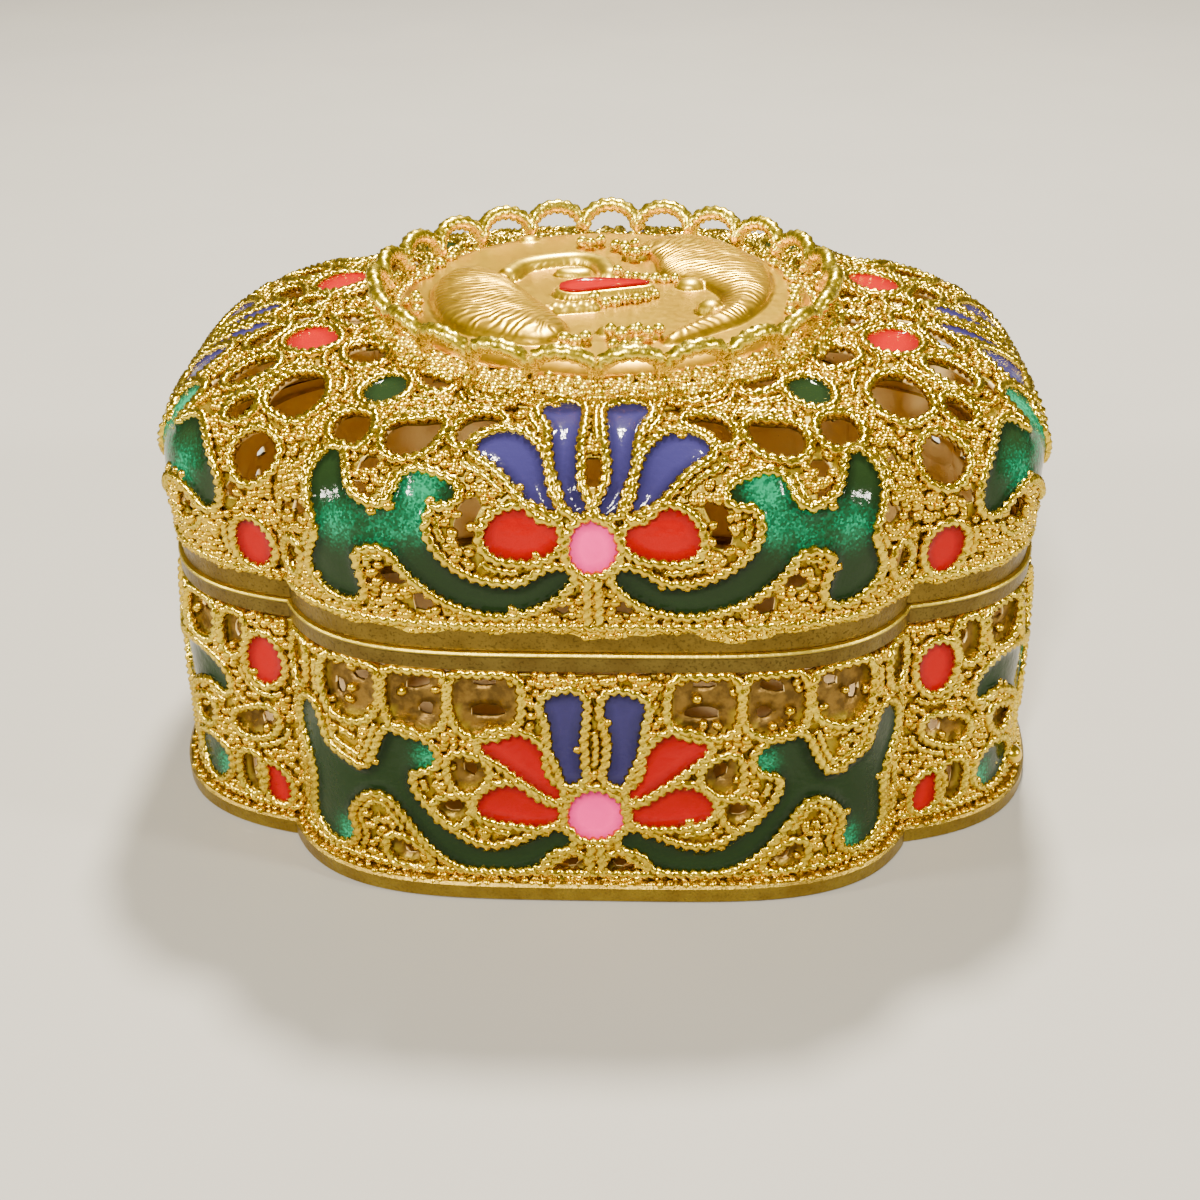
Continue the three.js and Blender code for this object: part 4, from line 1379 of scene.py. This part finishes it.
class BOX_OT_granules(bpy.types.Operator):
    """Adds the granules that fill the gold ground between the wires"""

    bl_idname = "jewelry_box.granules"
    bl_label = "Granules"

    def execute(self, context):
        rng = np.random.default_rng(settings().seed)
        for part in ("base", "lid"):
            found = []
            for layout in layouts(part):
                cells, lattice = wire_paths(layout)
                wires = cells + lattice + scroll_paths(layout)
                found.append(granule_places(layout, wires, rng, settings().granule_spacing / MM))
            places, normals = (np.concatenate(rows) for rows in zip(*found))
            add_grains(part + "_granules", places, normals, rng, "gilt_grain", part)

        collar = np.concatenate([
            circle_points(radius, DOME_TOP + height, int(2 * math.pi * radius / COLLAR_CRUST_SPACING))
            for radius, height in COLLAR_CRUST
        ])
        collar += rng.uniform(-0.2, 0.2, collar.shape)
        upright = np.broadcast_to((0, 0, 1), collar.shape)
        add_grains("lid_collar_crust", collar, upright, rng, "gilt_bright", "lid", COLLAR_CRUST_GRAIN)

        foot = np.concatenate([
            ring_points(spread, 0, FOOT_HEIGHT - 0.1, FOOT_CRUST_COUNT) for spread in FOOT_CRUST_SPREADS
        ])
        foot += rng.uniform(-0.22, 0.22, foot.shape) * (1, 1, 0.6)
        upright = np.broadcast_to((0, 0, 1), foot.shape)
        add_grains("base_foot_crust", foot, upright, rng, "gilt_grain", "base", FOOT_CRUST_GRAIN)

        edge = np.concatenate([
            ring_points(LID_BAND_SPREAD, -0.05, ragged_edge, EDGE_CRUST_COUNT) + (0, 0, rise)
            for rise in EDGE_CRUST_RISES
        ])
        edge = edge[edge[:, 2] < LID_BAND_TOP + EDGE_CRUST_TOP]
        edge += rng.uniform(-0.12, 0.12, edge.shape)
        outward = unit(edge * (1, 1, 0))
        add_grains("lid_edge_crust", edge, outward, rng, "gilt_grain", "lid", EDGE_CRUST_GRAIN)
        return {"FINISHED"}


class BOX_OT_enamel(bpy.types.Operator):
    """Pours each colour of enamel into its cells"""

    bl_idname = "jewelry_box.enamel"
    bl_label = "Enamel"

    def execute(self, context):
        for part in ("base", "lid"):
            for colour in ("pink", "blue", "red", "green"):
                cells = [(layout, outline) for layout in layouts(part) for outline in layout.cells[colour]]
                poured = pour_enamel(f"{part}_enamel_{colour}", cells)
                place_piece(poured, enamel_of(colour), part)
        return {"FINISHED"}


def ragged_edge(lobe, along):
    """Height of the openwork's uneven lower edge where it laps over the band."""
    phase = 1.7 * lobe.index
    low = LID_BAND_TOP - 0.1
    low = low + 0.16 * np.sin(0.9 * along + phase) + 0.1 * np.sin(2.3 * along + 2 * phase)
    for side, place, width, drop in RAGGED_TONGUES:
        if side == lobe.index:
            low = low - drop * np.exp(-((along - place) / width) ** 4)
    return np.minimum(low, LID_BAND_TOP + 0.1)


class BOX_OT_lid_band(bpy.types.Operator):
    """Adds the lid's band and the flat seat at its top"""

    bl_idname = "jewelry_box.lid_band"
    bl_label = "Lid band and seat"

    def execute(self, context):
        spread, top = LID_BAND_SPREAD, LID_BAND_TOP + 0.1
        band = [
            (spread, 0.05, LID_BOTTOM), (spread, 0, LID_BOTTOM + 0.05), (spread, 0, LID_BAND_TOP - 0.1),
            (spread, 0.2, top), (spread, WALL_THICKNESS, top), (spread, WALL_THICKNESS, LID_BOTTOM),
        ]
        add_ring("lid_band", plan_rings(band), lined("gilt_band"), "lid")

        edge = [
            (spread, -0.12, ragged_edge), (spread, -0.15, RAGGED_TOP),
            (spread, 0.1, RAGGED_TOP), (spread, 0.02, ragged_edge),
        ]
        add_ring("lid_ragged_edge", plan_rings(edge, RAGGED_COUNT), gold("gilt_wire"), "lid")

        under = DOME_TOP - WALL_THICKNESS
        seat = [
            (COLLAR_RADIUS + 0.6, DOME_TOP - 0.9), (COLLAR_RADIUS + 0.3, DOME_TOP - 0.1),
            (COLLAR_RADIUS, DOME_TOP), (SEAT_RADIUS, DOME_TOP),
            (SEAT_RADIUS, under), (COLLAR_RADIUS, under),
        ]
        rings = [circle_points(radius, height, SEAT_COUNT) for radius, height in seat]
        add_ring("lid_seat", rings, lined("gilt_band"), "lid")
        return {"FINISHED"}


class BOX_OT_medallion(bpy.types.Operator):
    """Adds the medallion's plate and its relief"""

    bl_idname = "jewelry_box.medallion"
    bl_label = "Medallion"

    def execute(self, context):
        rings = []
        for radius in np.arange(PLATE_RING_STEP, PLATE_RADIUS - 0.1, PLATE_RING_STEP):
            ring = circle_points(radius, PLATE_TOP, PLATE_SIDES)
            ring[:, 2] += relief(ring[:, :2])
            rings.append(ring)
        for height in (PLATE_TOP - PLATE_CURL - 0.1, PLATE_LOW.z / MM):
            rings.append(circle_points(PLATE_RADIUS, height, PLATE_SIDES))
        bm = bmesh.new()
        filled_drum(bm, rings)
        flat = map_points(bm) / MM
        deepest = np.maximum(*fish_depths(flat))
        curled = np.hypot(flat[:, 0], flat[:, 1]) - PLATE_FLAT
        mark(bm, "engraving", np.clip(deepest / ENGRAVED_FADE, 0, 1))
        # Raised relief outside the bodies: burnished, with a painted highlight.
        mark(bm, "burnish", np.clip((relief(flat) - 0.15) / 0.3, 0, 1) * (deepest < 0))
        # Painted reflection on the curl.
        mark(bm, "amber", np.clip(curled / CURL_REFLECTION_FADE, 0, 1))
        plate = new_object("medallion_plate", mesh_from(bm))
        place_piece(plate, engraved("gilt_plate"), "medallion")

        cell = (PlateMap, smooth_loop(RED_LEAF, 0.3))
        leaf = pour_enamel("medallion_leaf", [cell], step=0.3, overlap=0.0)
        for vert in leaf.data.vertices:
            vert.co.z += LEAF_RISE * MM
        place_piece(leaf, enamel_of("red"), "medallion")

        rng = np.random.default_rng(settings().seed + 1)
        rows = [smooth_path(path, BEAD_STEP) for path in (UPPER_BEADS, LOWER_BEADS)]
        rows += [np.add((x, y), BOSS_BEADS) for x, y, _, _ in BEADED_BOSSES]
        turns = np.concatenate([rng.uniform(*span) for span in LUMP_TURNS])
        reach = rng.uniform(*LUMP_REACH, len(turns))
        rows.append(polar(reach, turns, 0)[:, :2])
        places = on_wall(PlateMap.wall, np.concatenate(rows), BEAD_LIFT)
        beads = granules("medallion_beads", *places, rng, BEAD_RADIUS, longer=0, detail=2)
        place_piece(beads, gold("gilt_bright"), "medallion")
        return {"FINISHED"}


class BOX_OT_gallery(bpy.types.Operator):
    """Adds the ring of wire arches round the medallion"""

    bl_idname = "jewelry_box.gallery"
    bl_label = "Gallery"

    def execute(self, context):
        low = GALLERY_LOW.z / MM + ARCH_RADIUS
        rise = GALLERY_HIGH.z / MM - ARCH_RADIUS - low
        half_turn = math.pi / ARCH_COUNT
        arch = np.repeat(np.arange(ARCH_COUNT), ARCH_STEPS)
        bend = np.tile(np.linspace(-1, 1, ARCH_STEPS, endpoint=False), ARCH_COUNT)
        lift = np.sqrt(1 - bend ** 2)
        angle = math.pi / 2 + (2 * arch + bend) * half_turn
        path = polar(ARCH_FOOT_REACH + ARCH_FLARE * lift, angle, low + rise * lift)
        wire = twisted_wires("gallery_arches", [(path, True)], 0.24, ARCH_RADIUS, pitch=2.0, pinch=0.3)
        place_piece(wire, gold("gilt_bright"), "gallery")
        return {"FINISHED"}


# ---------- the stage, in metres ----------

CAMERA_PLACE = (5.54 * MM, -166.55 * MM, 106.98 * MM)
CAMERA_PITCH = 0.51615
CAMERA_HEADING = 0.03784
CAMERA_ROLL = -0.00931
CAMERA_LENS = 49.51
LAMP_TARGET = (0, 0, 0.03)
LAMPS = {  # place, size, power in watts and colour
    "key": ((0.04, 0.34, 0.66), 0.09, 19.5, (1.0, 0.93, 0.78)),
    "front": ((-0.16, -0.56, 0.6), 0.09, 13.0, (1.0, 0.94, 0.8)),
    "right": ((0.6, -0.2, 0.34), 0.08, 4.4, (1.0, 0.94, 0.8)),
    "left": ((-0.58, -0.16, 0.26), 0.08, 3.6, (1.0, 0.94, 0.8)),
}
ROOM_COLOUR = (0.88, 0.79, 0.62, 1)
ROOM_STRENGTH = 0.25
FLOOR_SIZE = 12


def add_lamp(name, place, size, power, colour):
    lamp = bpy.data.lights.new(name, "AREA")
    lamp.shape = "DISK"
    lamp.size = size
    lamp.energy = power
    lamp.color = colour
    light = bpy.data.objects.new(name, lamp)
    light.location = place
    light.rotation_euler = (Vector(LAMP_TARGET) - Vector(place)).to_track_quat("-Z", "Y").to_euler()
    bpy.context.scene.collection.objects.link(light)


class BOX_OT_stage(bpy.types.Operator):
    """Adds the floor, the lights and the camera"""

    bl_idname = "jewelry_box.stage"
    bl_label = "Stage"

    def execute(self, context):
        scene = context.scene
        bm = bmesh.new()
        bmesh.ops.create_grid(bm, x_segments=1, y_segments=1, size=FLOOR_SIZE)
        floor = new_object("floor", mesh_from(bm))
        finish = Finish(bpy.data.materials.new("floor"))
        tone = settings().floor
        grain = finish.ramp(finish.noise(0.02), [(0.3, shade(tone, 0.96)), (0.7, tone)])
        finish.feed(finish.shader["Base Color"], grain)
        finish.feed(finish.shader["Roughness"], 0.7)
        floor.data.materials.append(finish.material)

        scene.world = bpy.data.worlds.new("studio")
        scene.world.use_nodes = True
        room = scene.world.node_tree.nodes["Background"].inputs
        room["Color"].default_value = ROOM_COLOUR
        room["Strength"].default_value = ROOM_STRENGTH
        for name, lamp in LAMPS.items():
            add_lamp(name, *lamp)

        camera = bpy.data.cameras.new("camera")
        camera.lens = CAMERA_LENS
        camera.sensor_width = 36
        camera.clip_start = 0.005
        view = bpy.data.objects.new("camera", camera)
        view.matrix_world = (
            Matrix.Translation(CAMERA_PLACE) @ Matrix.Rotation(CAMERA_HEADING, 4, "Z")
            @ Matrix.Rotation(math.pi / 2 - CAMERA_PITCH, 4, "X") @ Matrix.Rotation(CAMERA_ROLL, 4, "Z")
        )
        scene.collection.objects.link(view)
        scene.camera = view
        return {"FINISHED"}


OPERATORS = (
    BOX_OT_base_bands, BOX_OT_lid_band, BOX_OT_openwork, BOX_OT_enamel, BOX_OT_wires, BOX_OT_granules,
    BOX_OT_medallion, BOX_OT_gallery, BOX_OT_stage,
)


class BOX_PT_panel(bpy.types.Panel):
    """Lists the settings and the steps"""

    bl_idname = "BOX_PT_panel"
    bl_label = "Jewelry box"
    bl_space_type = "VIEW_3D"
    bl_region_type = "UI"
    bl_category = "Jewelry box"

    def draw(self, context):
        for name in BoxSettings.__annotations__:
            self.layout.prop(context.scene.box_settings, name)
        for operator in OPERATORS:
            self.layout.operator(operator.bl_idname)


CLASSES = (BoxSettings,) + OPERATORS + (BOX_PT_panel,)


def register():
    for item in CLASSES:
        bpy.utils.register_class(item)
    bpy.types.Scene.box_settings = PointerProperty(type=BoxSettings)


def unregister():
    del bpy.types.Scene.box_settings
    for item in reversed(CLASSES):
        bpy.utils.unregister_class(item)


def main():
    register()
    for operator in OPERATORS:
        group, step = operator.bl_idname.split(".")
        getattr(getattr(bpy.ops, group), step)()


if __name__ == "__main__":
    main()
